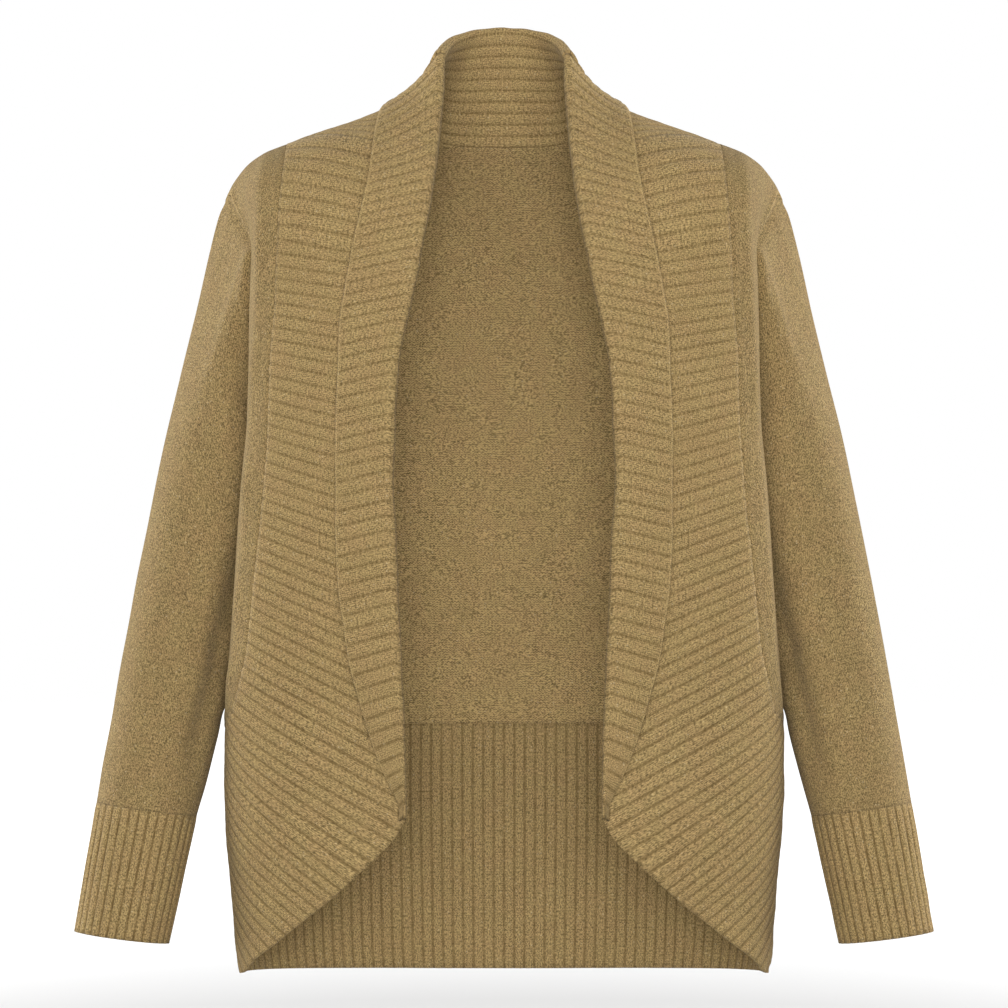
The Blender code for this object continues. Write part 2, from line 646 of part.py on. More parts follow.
def sparse_rows():
    """Indices of the rib lines that the hidden faces take, two to a rib."""
    rows = set()
    starts = [row[0] for row in SPARSE] + [BAND_RIBS]
    for (first, step), last in zip(SPARSE, starts[1:]):
        rows |= set(range(2 * first, 2 * last, 2 * step))
    return sorted(rows | {2 * BAND_RIBS})


def upto(line, station):
    return [item for item in line if item[0] <= station + 1e-6]


def beyond(line, station):
    return [item for item in line if item[0] >= station - 1e-6]


def square_to_shoulder(under, normal):
    """Keeps the band's ends on its own side of the shoulder seam, with upright edges."""
    under[..., 1] = np.minimum(under[..., 1], -SEAM / 2)
    rows = 2 * RIDGE_RIBS + 1
    normal[:rows, 0, 1] = 0
    under[0, :, 1] = -SEAM / 2
    normal[0, :, 1] = 0
    return under, unit(normal)


# ---------------------------------------------------------------- strips and back
STRIP_LEVELS = (100, 75, 50, 30, 12, 0, -20, -40, -65, -90, -115, -140, -153, -160, -200, -245,
                -290, -325, -345, -359, -364, -368, -371)
STRIP_COLUMNS = 5


def strip_seam():
    """The strip's side of its seam with the band, a point to each rib: shares and levels."""
    places = np.array([seam_place(rib) for rib in range(RIDGE_RIBS, TIP_RIBS + 1)])
    run = np.gradient(places * (SHARE_MM, 1), axis=0)
    off = unit(np.stack([-run[:, 1], run[:, 0]], axis=1)) * SEAM
    places = places + off / (SHARE_MM, 1)
    places[0] = seam_place(RIDGE_RIBS)
    places[0, 0] += SEAM / 2 / SHARE_MM
    return places


def armhole_ring(level, name):
    return float(look_up(ARMHOLE, ARMHOLE_COLUMNS, name, level))


def strip(name, mirror):
    """The plain strip between the ribbed band and the armhole or side seam."""
    seam = strip_seam()
    down = -seam[:, 1]
    shares = [seam[:, 0]]
    levels = [seam[:, 1]]
    rows = np.array(STRIP_LEVELS, float)
    rows = rows[rows > seam[-1, 1] + SEAM]
    first = np.interp(-rows, down, seam[:, 0])
    last = []
    for level in rows:
        ring = armhole_ring(level, "front_seam") if level > UNDERARM_LEVEL else 2.0
        last.append(GIRTH.share_at(ring, level) - SEAM / 2 / SHARE_MM)
    for part in np.linspace(0, 1, STRIP_COLUMNS)[1:]:
        shares.append(first + (np.array(last) - first) * part)
        levels.append(rows)
    wall = Wall()
    faces = [[], []]
    for share_line, level_line in zip(shares, levels):
        rings = [GIRTH.ring_at(share, level) for share, level in zip(share_line, level_line)]
        points = np.array([torso(r, level) for r, level in zip(rings, level_line)])
        ups = np.array([torso_normal(r, level) for r, level in zip(rings, level_line)])
        points[0, 1] = -SEAM / 2
        for face, away in zip(faces, (WALL / 2, -WALL / 2)):
            face.append(wall.line(-level_line, points + ups * away))
    for face in faces:
        wall.skins(face)
    for end in (0, -1):
        wall.skin(faces[0][end], faces[1][end])
        wall.cap([line[end][1] for line in faces[0]], [line[end][1] for line in faces[1]])
    return wall.finish(name, mirror)


BACK_LEVELS = (-374, -330, -290, -245, -200, -160, -153, -140, -115, -90, -65, -40, -20, 0, 12,
               30, 50, 75, 100)
BACK_COARSE_LEVELS = (-374, -330, -245, -160, -90, -40, 0, 30, 50, 75, 100)
BACK_SHOULDER_X = (220, 211, 200, 184, 162, 138, 112, 92)    # its columns' tops, then the collar's own


def back():
    """The back panel: shoulders, armholes and back neck are its edges."""
    tops = list(BACK_SHOULDER_X) + [row[1] for row in COLLAR]
    half_grid, half_normals = [], []
    for level in BACK_LEVELS:
        bottom = level <= HEM_TOP_Z - CHEST_Z
        points, ups = [], []
        for k, top_x in enumerate(tops):
            part = 1 - top_x / SHOULDER_X
            top = RIDGE_LEVEL
            if top_x < NECK_X:
                top = float(level_of(top_x, look_up(NECK_SEAM, NECK_SEAM_COLUMNS, "z", top_x)))
            here = level if level <= 0 else level * top / RIDGE_LEVEL
            here += SEAM if bottom else 0
            edge = armhole_ring(here, "back_seam") if here > UNDERARM_LEVEL else 2.0
            first = GIRTH.share_at(edge, here) + SEAM / 2 / SHARE_MM
            ring = GIRTH.ring_at(first + (2 - first) * part, here)
            if level > 0:
                blend = ease(level / RIDGE_LEVEL)
                ring_top = float(ring_of(top_x, here, back=True))
                ring = ring * (1 - blend) + (ring_top if k else edge) * blend
            points.append(torso(ring, here))
            ups.append(torso_normal(min(ring, 3.99), here))
        half_grid.append(points)
        half_normals.append(ups)
    half_grid, half_normals = np.array(half_grid), np.array(half_normals)
    half_grid[..., 1] = np.maximum(half_grid[..., 1], SEAM / 2)
    half_grid[-1, :, 1] = np.where(half_grid[-1, :, 0] >= NECK_X - 1, SEAM / 2, half_grid[-1, :, 1])
    half_normals[-1, :, 1] = np.where(half_grid[-1, :, 0] >= NECK_X - 1, 0, half_normals[-1, :, 1])
    half_grid[:, -1, 0] = 0
    half_normals[:, -1, 0] = 0
    flip = np.array([-1, 1, 1])
    grid = np.concatenate([half_grid, half_grid[:, -2::-1] * flip], axis=1)
    normals = unit(np.concatenate([half_normals, half_normals[:, -2::-1] * flip], axis=1))
    few = [i for i, level in enumerate(BACK_LEVELS) if level in BACK_COARSE_LEVELS]
    last = grid.shape[1] - 1
    return panel("back", grid, normals, (0, last), few)


def back_hem_rib():
    """The back hem: upright ribs raised on both faces."""
    count = 2 * HEM_RIBS + 1
    shares = np.linspace(1 + SEAM / SHARE_MM, 3 - SEAM / SHARE_MM, count)
    levels = np.array([HEM_TOP_Z - SEAM, HEM_MIDDLE_Z, HEM_Z]) - CHEST_Z
    drops = HEM_DROP * (1 - (2 - np.minimum(shares, 4 - shares)) ** 2)
    wall = Wall(crease=RIB_CREASE)
    ridge = np.arange(count) % 2 == 1
    sides = []
    for sign in (1, -1):
        lines = []
        for level in levels:
            points = []
            for share, drop, high in zip(shares, drops * (level == levels[-1]), ridge):
                ring = GIRTH.ring_at(min(share, 4 - share), level)
                point, out = torso(ring, level - drop), torso_normal(min(ring, 3.99), level)
                if share > 2:
                    point, out = point * (-1, 1, 1), out * (-1, 1, 1)
                lift = WALL / 2 - RIB_SINK + (RIB_RISE if high else 0)
                points.append(point + unit(out * (1, 1, 0)) * lift * sign)
            lines.append(wall.line(range(count), points))
        wall.skins(lines)
        sides.append(lines)
    for end in (0, -1):
        wall.skin(sides[0][end], sides[1][end])
        wall.cap([line[end][1] for line in sides[0]], [line[end][1] for line in sides[1]])
    return wall.finish("back_hem_rib")


# ---------------------------------------------------------------- sleeves and cuffs
def seam_start(seam, along, out, target):
    """Middle point and outward normal of a wall that starts at a seam and heads for a target."""
    heading = target - seam
    angle = math.atan2(float(np.dot(heading, out)), float(np.dot(heading, along)))
    angle = min(max(angle, math.radians(LEAST_HEADING)), math.radians(MOST_HEADING))
    lift = SEAM + abs(math.sin(angle)) * WALL / 2 + max(0, -math.cos(angle)) * WALL
    travel = along * math.cos(angle) + out * math.sin(angle)
    return seam + along * lift, out * math.cos(angle) - along * math.sin(angle), travel


def sleeve_row(row):
    item = dict(zip(SLEEVE_COLUMNS, row))
    outer = np.array([item["outer_x"], item["middle_y"], item["outer_z"]])
    inner = np.array([item["inner_x"], item["middle_y"], item["inner_z"]])
    half = unit(outer - inner) * WALL / 2
    return outer - half, inner + half, item["half_deep"] - WALL / 2, item["armhole"]


def sleeve_ellipse(row, turns):
    """Points and outward normals round one section of the sleeve, from its outer point."""
    outer, inner, deep, _ = sleeve_row(row)
    centre, arm = (outer + inner) / 2, (outer - inner) / 2
    wide = np.linalg.norm(arm)
    cos, sin = np.cos(turns)[:, None], np.sin(turns)[:, None]
    front = np.array([0, -1.0, 0])
    points = centre + arm * cos + front * sin * deep
    normals = unit(arm / wide * cos / wide + front * sin / deep)
    return points, normals


def armhole_loop():
    """The armhole's points, and there the direction off the panel's edge and the way out."""
    levels = [row[0] for row in ARMHOLE][::-1]
    loop = [(level, "front_seam") for level in levels] + [(level, "back_seam") for level in levels[-2:0:-1]]
    points, along, out = [], [], []
    for level, seam in loop:
        ring = armhole_ring(level, seam)
        points.append(torso(ring, level))
        out.append(torso_normal(ring, level))
    points, out = np.array(points), np.array(out)
    tangent = np.roll(points, -1, axis=0) - np.roll(points, 1, axis=0)
    centre = points.mean(axis=0)
    for i in range(len(points)):
        way = unit(np.cross(tangent[i], out[i]))
        along.append(way if np.dot(centre - points[i], way) > 0 else -way)
    return points, np.array(along), out


def arc_turns(points):
    """Angle of each armhole point: 0 on the shoulder, half a turn at the underarm."""
    steps = np.linalg.norm(np.roll(points, -1, axis=0) - points, axis=1)
    half = len(points) // 2
    front = np.concatenate([[0], np.cumsum(steps[:half])]) / steps[:half].sum()
    rear = np.concatenate([[0], np.cumsum(steps[half:])]) / steps[half:].sum()
    return np.concatenate([front[:-1], 1 + rear[:-1]]) * math.pi


def near_armhole(row, turns, start, top, low):
    """A section of the sleeve, drawn towards the armhole's own outline where it is near."""
    points, normals = sleeve_ellipse(row, turns)
    outer, inner, _, keep = sleeve_row(row)
    share = np.cos(turns / 2)[:, None] ** 2
    moved = start + (outer - top) * share + (inner - low) * (1 - share)
    return points * (1 - keep) + moved * keep, normals


def sleeve(name, mirror):
    """A sleeve: lofted from the armhole's seam to round sections down the arm."""
    seam, along, out = armhole_loop()
    turns = arc_turns(seam)
    top, low = seam[0], seam[len(seam) // 2]
    first, _ = near_armhole(SLEEVE[0], turns, seam, top, low)
    starts, start_normals, travels = [], [], []
    for i in range(len(seam)):
        start, normal, travel = seam_start(seam[i], along[i], out[i], first[i])
        starts.append(start)
        start_normals.append(normal)
        travels.append(travel)
    starts, travels = np.array(starts), np.array(travels)
    rings = [starts, starts + travels * SLEEVE_START]
    for row in SLEEVE:
        points, normals = near_armhole(row, turns, rings[1], top, low)
        rings.append(points)
    grid = np.array(rings)
    guide = grid - np.array(grid.mean(axis=1, keepdims=True))
    closed = np.concatenate([grid[:, -1:], grid, grid[:, :1]], axis=1)
    closed_guide = np.concatenate([guide[:, -1:], guide, guide[:, :1]], axis=1)
    normal = grid_normals(closed, closed_guide)[:, 1:-1]
    normal[0] = np.array(start_normals)
    normal[-1] = normals
    stations = [list(range(len(seam)))] * len(grid)
    return tube(name, grid + normal * WALL / 2, grid - normal * WALL / 2, stations, stations, mirror)


def cuff(name, mirror):
    """A cuff: upright ribs raised round it over a plain inside."""
    rows = []
    for part in (0.0, 0.5, 1.0):
        rows.append([a + (b - a) * part for a, b in zip(SLEEVE[-1], CUFF_END)])
    axis = unit(np.array([rows[2][0] + rows[2][2] - rows[0][0] - rows[0][2], 0,
                          rows[2][1] + rows[2][3] - rows[0][1] - rows[0][3]]))
    turns = rib_turns(rows[1])
    samples = len(turns)
    lift = np.where(np.arange(samples) % 3 == 0, -RIB_SINK, RIB_RISE - RIB_SINK)[:, None]
    outer, inner = [], []
    for row in rows:
        points, normals = sleeve_ellipse(row, turns)
        points = points + axis * SEAM * (row is rows[0])
        outer.append(points + normals * (WALL / 2 + lift))
        inner.append(points - normals * WALL / 2)
    stations = list(range(samples))
    few = stations[::5]
    inner[1] = inner[1][few]
    return tube(name, outer, inner, [stations] * 3, [stations, few, stations], mirror)


def rib_turns(row):
    """Angles of a cuff's points round a section: each rib's valley, then both sides of its ridge."""
    fine = np.linspace(0, 2 * math.pi, 721)
    points, _ = sleeve_ellipse(row, fine)
    run = np.concatenate([[0], np.cumsum(np.linalg.norm(np.diff(points, axis=0), axis=1))])
    places = (np.arange(CUFF_RIBS)[:, None] + np.array((0.0,) + CUFF_RIDGE)).ravel() / CUFF_RIBS
    return np.interp(places, run / run[-1], fine)


# ---------------------------------------------------------------- the collar behind the shoulders
def collar_row(turn):
    """The collar's section at a turn from the shoulder: neck seam, crest and fall's edge."""
    value = {name: float(look_up(COLLAR, COLLAR_COLUMNS, name, turn)) for name in COLLAR_COLUMNS[1:]}
    x = value["base_x"]
    level = float(level_of(x, look_up(NECK_SEAM, NECK_SEAM_COLUMNS, "z", x)))
    ring = min(float(ring_of(x, level, back=True)), 3.995)
    base, out = torso(ring, level), torso_normal(ring, level)
    top = np.array([value["crest_x"], value["crest_y"], value["crest_z"]])
    edge = np.array([value["edge_x"], value["edge_y"], value["edge_z"]])
    return base, out, top, edge


def collar_back():
    """Stand, fold and fall round the back neck, with ribs along them."""
    turns = [row[0] for row in COLLAR]
    stand_count, fall_count = 2 * STAND_RIBS + 1, 2 * FALL_RIBS + 1
    mids, normals = [], []
    for turn in turns:
        base, out, top, edge = collar_row(turn)
        way = unit(top - base)
        along = unit(way - out * np.dot(way, out))
        start, first_normal, _ = seam_start(base, along, out, top)
        end = top - unit(top - start) * TURN_RADIUS_TOP
        line = [start + (end - start) * part for part in np.linspace(0, 1, stand_count)]
        around = np.array([math.cos(math.radians(turn)), math.sin(math.radians(turn)), 0.0])
        face = unit(around - way * np.dot(around, way))
        points, faces = turn_over(end, start, face, edge, TURN_RADIUS_TOP, bow_height(turn, SAG_TURN),
                                  LOOP_LINES, fall_count - 1)
        mids.append(line + points)
        normals.append([first_normal] + [face] * (stand_count - 1) + faces)
    mids, normals = np.array(mids), np.array(normals)
    mids[..., 1] = np.maximum(mids[..., 1], SEAM / 2)
    mids[0, :, 1] = SEAM / 2
    normals[0, :, 1] = 0
    mids[-1, :, 0] = 0
    normals[-1, :, 0] = 0
    flip = np.array([-1, 1, 1])
    mids = np.concatenate([mids, mids[-2::-1] * flip])
    normals = unit(np.concatenate([normals, normals[-2::-1] * flip]))
    wall = Wall(side=1, crease=RIB_CREASE)
    count = mids.shape[1]
    ridge = np.arange(count) % 2 == 1
    ridge[stand_count - 1:stand_count + LOOP_LINES] = True
    ridge[[0, -1]] = False
    flap = stand_count + LOOP_LINES - 1
    keep = sorted({0, stand_count // 2, stand_count - 1, stand_count, stand_count + 1,
                   flap, flap + FALL_RIBS // 2, flap + FALL_RIBS, count - 1 - FALL_RIBS // 2, count - 1})
    lift = np.where(ridge, WALL / 2 + RIB_RISE - RIB_SINK, WALL / 2 - RIB_SINK)[:, None]
    shown, hidden = [], []
    for i in range(len(mids)):
        few = np.arange(count) if i in (0, len(mids) - 1) else np.array(keep)
        shown.append(wall.line(range(count), mids[i] - normals[i] * lift))
        hidden.append(wall.line(few, (mids[i] + normals[i] * WALL / 2)[few]))
    wall.skins(shown)
    wall.skins(hidden)
    for end in (0, -1):
        wall.skin(shown[end], hidden[end])
        wall.cap([line[end][1] for line in shown], [line[end][1] for line in hidden])
    return wall.finish("collar_back")


# ---------------------------------------------------------------- the garment
back()
back_hem_rib()
collar_back()
for side_name, mirrored in (("left", False), ("right", True)):
    strip("front_" + side_name, mirrored)
    band("band_" + side_name, mirrored)
    sleeve("sleeve_" + side_name, mirrored)
    cuff("cuff_" + side_name, mirrored)
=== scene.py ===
"""Looks of the open-front cardigan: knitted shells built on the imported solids' own surfaces.

Lengths are in millimetres until a mesh is made. The tables say the same as the solids' source, and
each shell is sampled finely enough for its ribs to be real relief. Stitches are in the materials.
"""
import math

import bmesh
import bpy
import numpy as np
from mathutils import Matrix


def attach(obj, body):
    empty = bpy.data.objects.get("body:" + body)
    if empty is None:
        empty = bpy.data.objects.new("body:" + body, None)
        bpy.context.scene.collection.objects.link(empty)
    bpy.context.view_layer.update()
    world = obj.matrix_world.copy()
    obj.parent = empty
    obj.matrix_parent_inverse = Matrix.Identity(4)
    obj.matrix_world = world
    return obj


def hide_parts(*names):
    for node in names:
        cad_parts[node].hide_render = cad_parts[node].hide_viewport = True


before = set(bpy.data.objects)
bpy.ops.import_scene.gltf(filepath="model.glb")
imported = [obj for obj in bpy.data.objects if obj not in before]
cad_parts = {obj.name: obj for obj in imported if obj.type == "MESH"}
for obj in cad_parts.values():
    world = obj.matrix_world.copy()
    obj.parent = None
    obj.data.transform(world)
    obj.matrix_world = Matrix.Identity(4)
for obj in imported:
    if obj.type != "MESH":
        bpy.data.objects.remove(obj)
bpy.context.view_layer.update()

# ---- sizes, mm
MM = 0.001
WALL = 2.2
RIB_RISE = 1.2
RIB_SINK = 0.5
CHEST_Z = -110.0
HEM_TOP_Z = -484.0
HEM_Z = -677.0
UNDERARM_LEVEL = -160.0
RIDGE_LEVEL = 100.0
SHOULDER_X = 220.0
NECK_X = 75.0
STRIP_TOP_X = 170.0
BAND_RIBS = 80
RIDGE_RIBS = 9
STRIP_RIBS = 56
TIP_RIBS = 62
HEM_RIBS = 66
CUFF_RIBS = 30
STAND_RIBS = 10
FALL_RIBS = 6
TURN_RADIUS = 4.2
TURN_RADIUS_END = 2.1
TURN_RADIUS_TOP = 3.4
LAPEL_LIFT = 5.0
LAPEL_PUFF = 1.5
TOP_SAG = 5.5
SAG_RIBS = 14
SAG_TURN = 60.0
HEM_DROP = 4.8
LEAST_LAPEL = 4.5
FRONT_SQUARE = 2.6
BAND_PITCH = 8.7           # a rib as the knit counts it; the bands' own are 10 to 11 on average
HEM_PITCH = 8.45
CUFF_PITCH = 6.9
WALE = 2.4                 # one column of stitches
COURSE = 1.95              # one row of stitches
ROLL_RISE, ROLL_PLACE, ROLL_REACH = 3.6, 16, 6.5       # the strip's roll beside the band's seam
DIP, DIP_REACH = 1.9, 2.6                              # the strip's dip at that seam
WELT_RISE, WELT_PLACE, WELT_REACH = 1.9, 2.6, 1.7      # the strip's welt beside the armhole
GROOVE, GROOVE_REACH = 1.4, 1.2                        # and its groove at the armhole
TIP_LIFT, TIP_TAPER = 0.4, 45
HOLLOW = 7.0                                           # of the sleeve, along its inner front
TUCK, TUCK_PLACE, TUCK_REACH = 3.2, 4.0, 3.6           # of the sleeve, at the armhole
SIDE_SINK = 2.3                                        # of the back, at the side above the hem
CROWN_CALM, CROWN_REACH = 0.75, 8.0                    # flatter ribs over the band's fold


def columns(names, rows):
    """A table's columns by name."""
    return {name: np.array(values, float) for name, values in zip(names.split(), zip(*rows))}


TORSO = columns("level front_x front_y side_x side_y back_x back_y front_deep back_deep", (
    (-567, 207.5, -10, 207.5, 0, 206.5, 10, 110, 112),
    (-555, 210.0, -10, 210.0, 0, 209.0, 10, 111, 112),
    (-524, 212.5, -10, 212.5, 0, 211.5, 10, 112, 112),
    (-492, 215.0, -10, 215.0, 0, 214.0, 10, 113, 112),
    (-461, 218.0, -10, 218.0, 0, 217.0, 10, 115, 111),
    (-414, 220.5, -11, 220.5, 0, 219.0, 10, 117, 110),
    (-364, 219.5, -15, 217.0, 0, 216.0, 20, 119, 108),
    (-330, 217.0, -28, 208.0, 2, 208.5, 32, 121, 106),
    (-290, 213.5, -38, 196.0, 5, 200.0, 42, 123, 103),
    (-250, 210.5, -45, 184.5, 6, 191.0, 50, 125, 100),
    (-220, 208.5, -49, 172.0, 7, 184.0, 54, 126, 101),
    (-180, 205.5, -50, 158.0, 8, 179.0, 56, 126, 104),
    (-160, 203.5, -50, 150.0, 8, 178.0, 56, 126, 106),
    (-140, 201.5, -50, 150.5, 8, 179.0, 56, 126, 108),
    (-100, 200.0, -50, 155.0, 8, 181.0, 56, 124, 109),
    (-55, 199.3, -50, 165.0, 8, 184.0, 56, 120, 109),
    (-20, 198.3, -50, 180.0, 8, 187.0, 56, 115, 107),
    (0, 197.5, -50, 192.0, 6, 189.0, 55, 112, 105),
    (20, 199.0, -50, 212.0, 3, 196.0, 54, 112, 104),
    (50, 203.0, -50, 217.0, 0, 202.0, 52, 112, 104),
    (100, 206.0, -50, 220.0, 0, 206.0, 50, 112, 104),
))
RIDGE = columns("x z fullness", (
    (0, 22.0, 1.55), (45, 19.0, 1.55), (60, 16.0, 1.56), (75, 12.0, 1.60), (91, 6.0, 1.70),
    (120, -5.5, 1.85), (149, -15.0, 2.00), (163, -20.0, 2.05), (186, -29.0, 2.15),
    (199, -37.0, 2.20), (212, -52.0, 2.20), (220, -68.0, 2.20), (226, -84.0, 2.20),
))
ARMHOLE = columns("level front_seam back_seam", (
    (-160, 2.00, 2.00), (-153, 1.72, 2.16), (-140, 1.58, 2.31), (-115, 1.45, 2.48),
    (-90, 1.34, 2.60), (-65, 1.24, 2.70), (-40, 1.15, 2.78), (-20, 1.08, 2.82), (0, 1.05, 2.80),
    (12, 1.22, 2.68), (30, 1.50, 2.50), (50, 1.66, 2.37), (75, 1.76, 2.26), (100, 2.00, 2.00),
))
STRIP_SEAM = columns("z x", (
    (-469, 211.5), (-460, 209.0), (-444, 205.0), (-422, 199.5), (-375, 194.5), (-335, 190.0),
    (-288, 185.5), (-242, 182.0), (-186, 180.5), (-153, 177.5), (-122, 176.5), (-86, 174.8),
    (-63, 173.5), (-40, 171.5), (-22, 170.0),
))
FOLD = columns("z x y", (
    (-551, 76.0, -112.8), (-504, 76.5, -114.3), (-458, 78.0, -116.8), (-412, 80.0, -120),
    (-381, 81.5, -122), (-335, 83.0, -124.5), (-288, 85.5, -126.5), (-242, 84.0, -126),
    (-204, 81.5, -124), (-165, 75.0, -121), (-141, 69.0, -118), (-107, 63.5, -110),
    (-82, 59.0, -97), (-52, 54.5, -77), (-28, 51.5, -57), (-1, 49.0, -34), (25, 47.0, -15),
    (47, 46.5, -0.5),
))
LAPEL_EDGE = columns("z x", (
    (-551, 77.0), (-535, 82.5), (-514, 92.6), (-489, 102.0), (-458, 111.0), (-427, 119.0),
    (-396, 123.5), (-366, 127.3), (-319, 129.0), (-273, 129.0), (-242, 128.5), (-209, 127.5),
    (-165, 125.8), (-141, 122.0), (-105, 116.0), (-82, 110.8), (-55, 105.0), (-30, 101.6),
    (-5, 97.5), (5, 92.0),
))
RIB_LEVELS = columns("rib seam_z fold_z edge_z", (
    (0, 12, 47, 4), (9, -23, -52, -62), (19, -122, -138, -147), (30, -226, -250, -258),
    (41, -331, -373, -382), (50, -414, -477, -485), (56, -469, -549, -551),
))
LOWER_EDGE = columns("rib x z", (
    (56, 75.6, -549.0), (57.5, 83.4, -564.0), (59.0, 94.2, -576.0), (62.0, 119.4, -600.0),
    (65.0, 137.8, -616.5), (68.5, 159.8, -634.0), (71.5, 179.0, -650.0), (74.0, 195.0, -663.0),
    (76.0, 203.4, -674.0),
))
NECK_SEAM = columns("x z", (
    (0, -22.0), (30, -21.5), (50, -19.0), (62, -9.0), (70, 2.0), (75, 12.0),
))
COLLAR = columns("turn base_x crest_x crest_y crest_z edge_x edge_y edge_z", (
    (0, 75, 46.5, 0.5, 47, 93.5, 0.5, 8.8),
    (15, 72, 43.5, 16, 54, 92, 26, 3.5),
    (30, 66, 39, 30, 60.5, 86, 46.5, -7),
    (45, 56, 32, 42, 65.5, 71.5, 60, -17),
    (60, 42, 23.5, 51, 69, 50.5, 69.5, -25.5),
    (75, 22, 12, 56, 71.5, 25.2, 74.5, -30),
    (90, 0, 0, 58, 72.5, 0, 76, -31.5),
))
SLEEVE_COLUMNS = ("outer_x", "outer_z", "inner_x", "inner_z", "middle_y", "half_deep", "armhole")
SLEEVE = (
    (230.5, -102, 158.5, -273, 9, 42, 0.80),
    (243.0, -154, 162.5, -279, 11, 44, 0.50),
    (256.0, -206, 167.5, -288, 12, 45, 0.22),
    (268.0, -254, 173.0, -303, 13, 44, 0.06),
    (277.5, -300, 180.5, -323, 13, 43, 0.0),
    (288.0, -352, 195.5, -374, 13, 41, 0.0),
    (298.0, -405, 209.0, -426, 13, 39, 0.0),
    (307.0, -455, 222.0, -475, 13, 37, 0.0),
    (316.0, -505, 235.0, -524, 12, 35, 0.0),
    (322.5, -543, 243.2, -553.5, 11, 33, 0.0),
)
CUFF_END = (339.7, -645, 265.4, -654.6, 10, 31, 0.0)
# Creases: two ends, width and height. The back's ends are in mm across and up from the hem rib; the
# sleeve's are in shares of its girth and in mm down from the armhole.
BACK_CREASES = (
    (70, 300, 150, 60, 16, -0.9), (560, 320, 500, 90, 18, -0.9), (240, 330, 250, 120, 22, 0.7),
    (400, 300, 385, 100, 24, 0.6), (90, 340, 170, 380, 12, -1.2), (545, 345, 470, 385, 12, -1.1),
)
SLEEVE_CREASES = (
    (0.30, 60, 0.46, 150, 13, -2.2), (0.22, 95, 0.42, 215, 14, 1.3),
    (0.60, 70, 0.50, 160, 13, -2.2), (0.70, 90, 0.55, 200, 14, 1.2),
    (0.36, 265, 0.50, 290, 10, -1.7), (0.62, 300, 0.48, 322, 10, -1.6),
    (0.30, 330, 0.46, 318, 12, 0.9), (0.12, 120, 0.16, 380, 20, 0.8),
    (0.86, 150, 0.82, 400, 20, 0.8), (0.28, 430, 0.40, 455, 9, -1.0),
)

# How finely the shells are sampled.
RIB_PLACES = (0.0, 0.10, 0.24, 0.5, 0.76, 0.90)      # samples across a rib, its valley at 0
FINE_RIB_PLACES = (0.0, 0.07, 0.14, 0.24, 0.5, 0.76, 0.86, 0.93)
RING_STEPS = 100
SHARE_STEPS = 400
UNDER_COUNT = 44
LOOP_COUNT = 9
LAPEL_COUNT = 26
FALL_COUNT = 200


# ---- tables and the torso's surface
def smooth(xs, ys, x):
    """The monotone cubic curve through a table's points, at x."""
    step = np.diff(xs)
    slope = np.diff(ys) / step
    same = slope[:-1] * slope[1:] > 0
    mean = np.where(same, 2 * slope[:-1] * slope[1:] / np.where(same, slope[:-1] + slope[1:], 1), 0)
    tangent = np.concatenate([slope[:1], mean, slope[-1:]])
    x = np.clip(x, xs[0], xs[-1])
    i = np.clip(np.searchsorted(xs, x) - 1, 0, len(step) - 1)
    t = (x - xs[i]) / step[i]
    bend = t * (t - 1)
    return (ys[i] + (ys[i + 1] - ys[i]) * ease(t)
            + step[i] * bend * ((t - 1) * tangent[i] + t * tangent[i + 1]))


def look_up(table, name, at):
    """A column of a table where its first column is at."""
    return smooth(next(iter(table.values())), table[name], at)


def ease(t):
    return t * t * (3 - 2 * t)


def unease(value):
    """The t at which ease(t) has this value."""
    return 0.5 - np.sin(np.arcsin(1 - 2 * value) / 3)


def clip01(x):
    return np.clip(x, 0, 1)


def soft(x):
    """An eased step: 0 below 0 and 1 above 1."""
    return ease(np.clip(x, 0, 1))


def bump(off, place, reach):
    """A bell of height 1 at a place."""
    return np.exp(-((off - place) / reach) ** 2)


def gaps(points, axis=0):
    """Distances between neighbours along an axis of a list or a grid of points."""
    return np.linalg.norm(np.diff(points, axis=axis), axis=-1)


def running(steps):
    """Running sums of steps, from 0."""
    return np.concatenate([[0], np.cumsum(steps)])


def unit(v):
    v = np.asarray(v, float)
    return v / np.maximum(np.linalg.norm(v, axis=-1, keepdims=True), 1e-9)


def ridge_z(x):
    return look_up(RIDGE, "z", np.abs(x))


def fullness(x):
    return look_up(RIDGE, "fullness", np.abs(x))


def torso(ring, level):
    """Middle of the cloth. ring: 0 centre front, 1 front corner, 2 side seam, 4 centre back."""
    ring, level = np.broadcast_arrays(np.asarray(ring, float), np.asarray(level, float))
    row = {name: look_up(TORSO, name, level) for name in list(TORSO)[1:]}
    half = WALL / 2
    front = ring < 2
    side = np.where(front, row["front_x"], row["back_x"]) - half
    corner_y = np.where(front, row["front_y"], row["back_y"])
    part = clip01(np.where(front, ring, 4 - ring))
    across = np.sin(part * math.pi / 2)
    deep = np.maximum(1 - across ** FRONT_SQUARE, 0) ** (1 / FRONT_SQUARE)
    toward = clip01(np.where(front, ring - 1, 3 - ring))
    reach = np.where(front, row["front_y"] + row["front_deep"], row["back_deep"] - row["back_y"])
    x = np.where(toward > 0, side + (row["side_x"] - half - side) * ease(toward), side * across)
    y = (corner_y + (row["side_y"] - corner_y) * toward
         + np.where(front, -1, 1) * (reach - half) * deep)
    turn = np.radians(np.clip(level, 0, RIDGE_LEVEL) * 90 / RIDGE_LEVEL)
    rise = np.sin(turn)
    full = fullness(x)
    keep = np.maximum(1 - rise ** full, 0) ** (1 / full)
    z = np.where(level > 0, CHEST_Z + rise * (ridge_z(x) - half - CHEST_Z), CHEST_Z + level)
    return np.stack([x, y * np.where(level > 0, keep, 1), z], axis=-1)


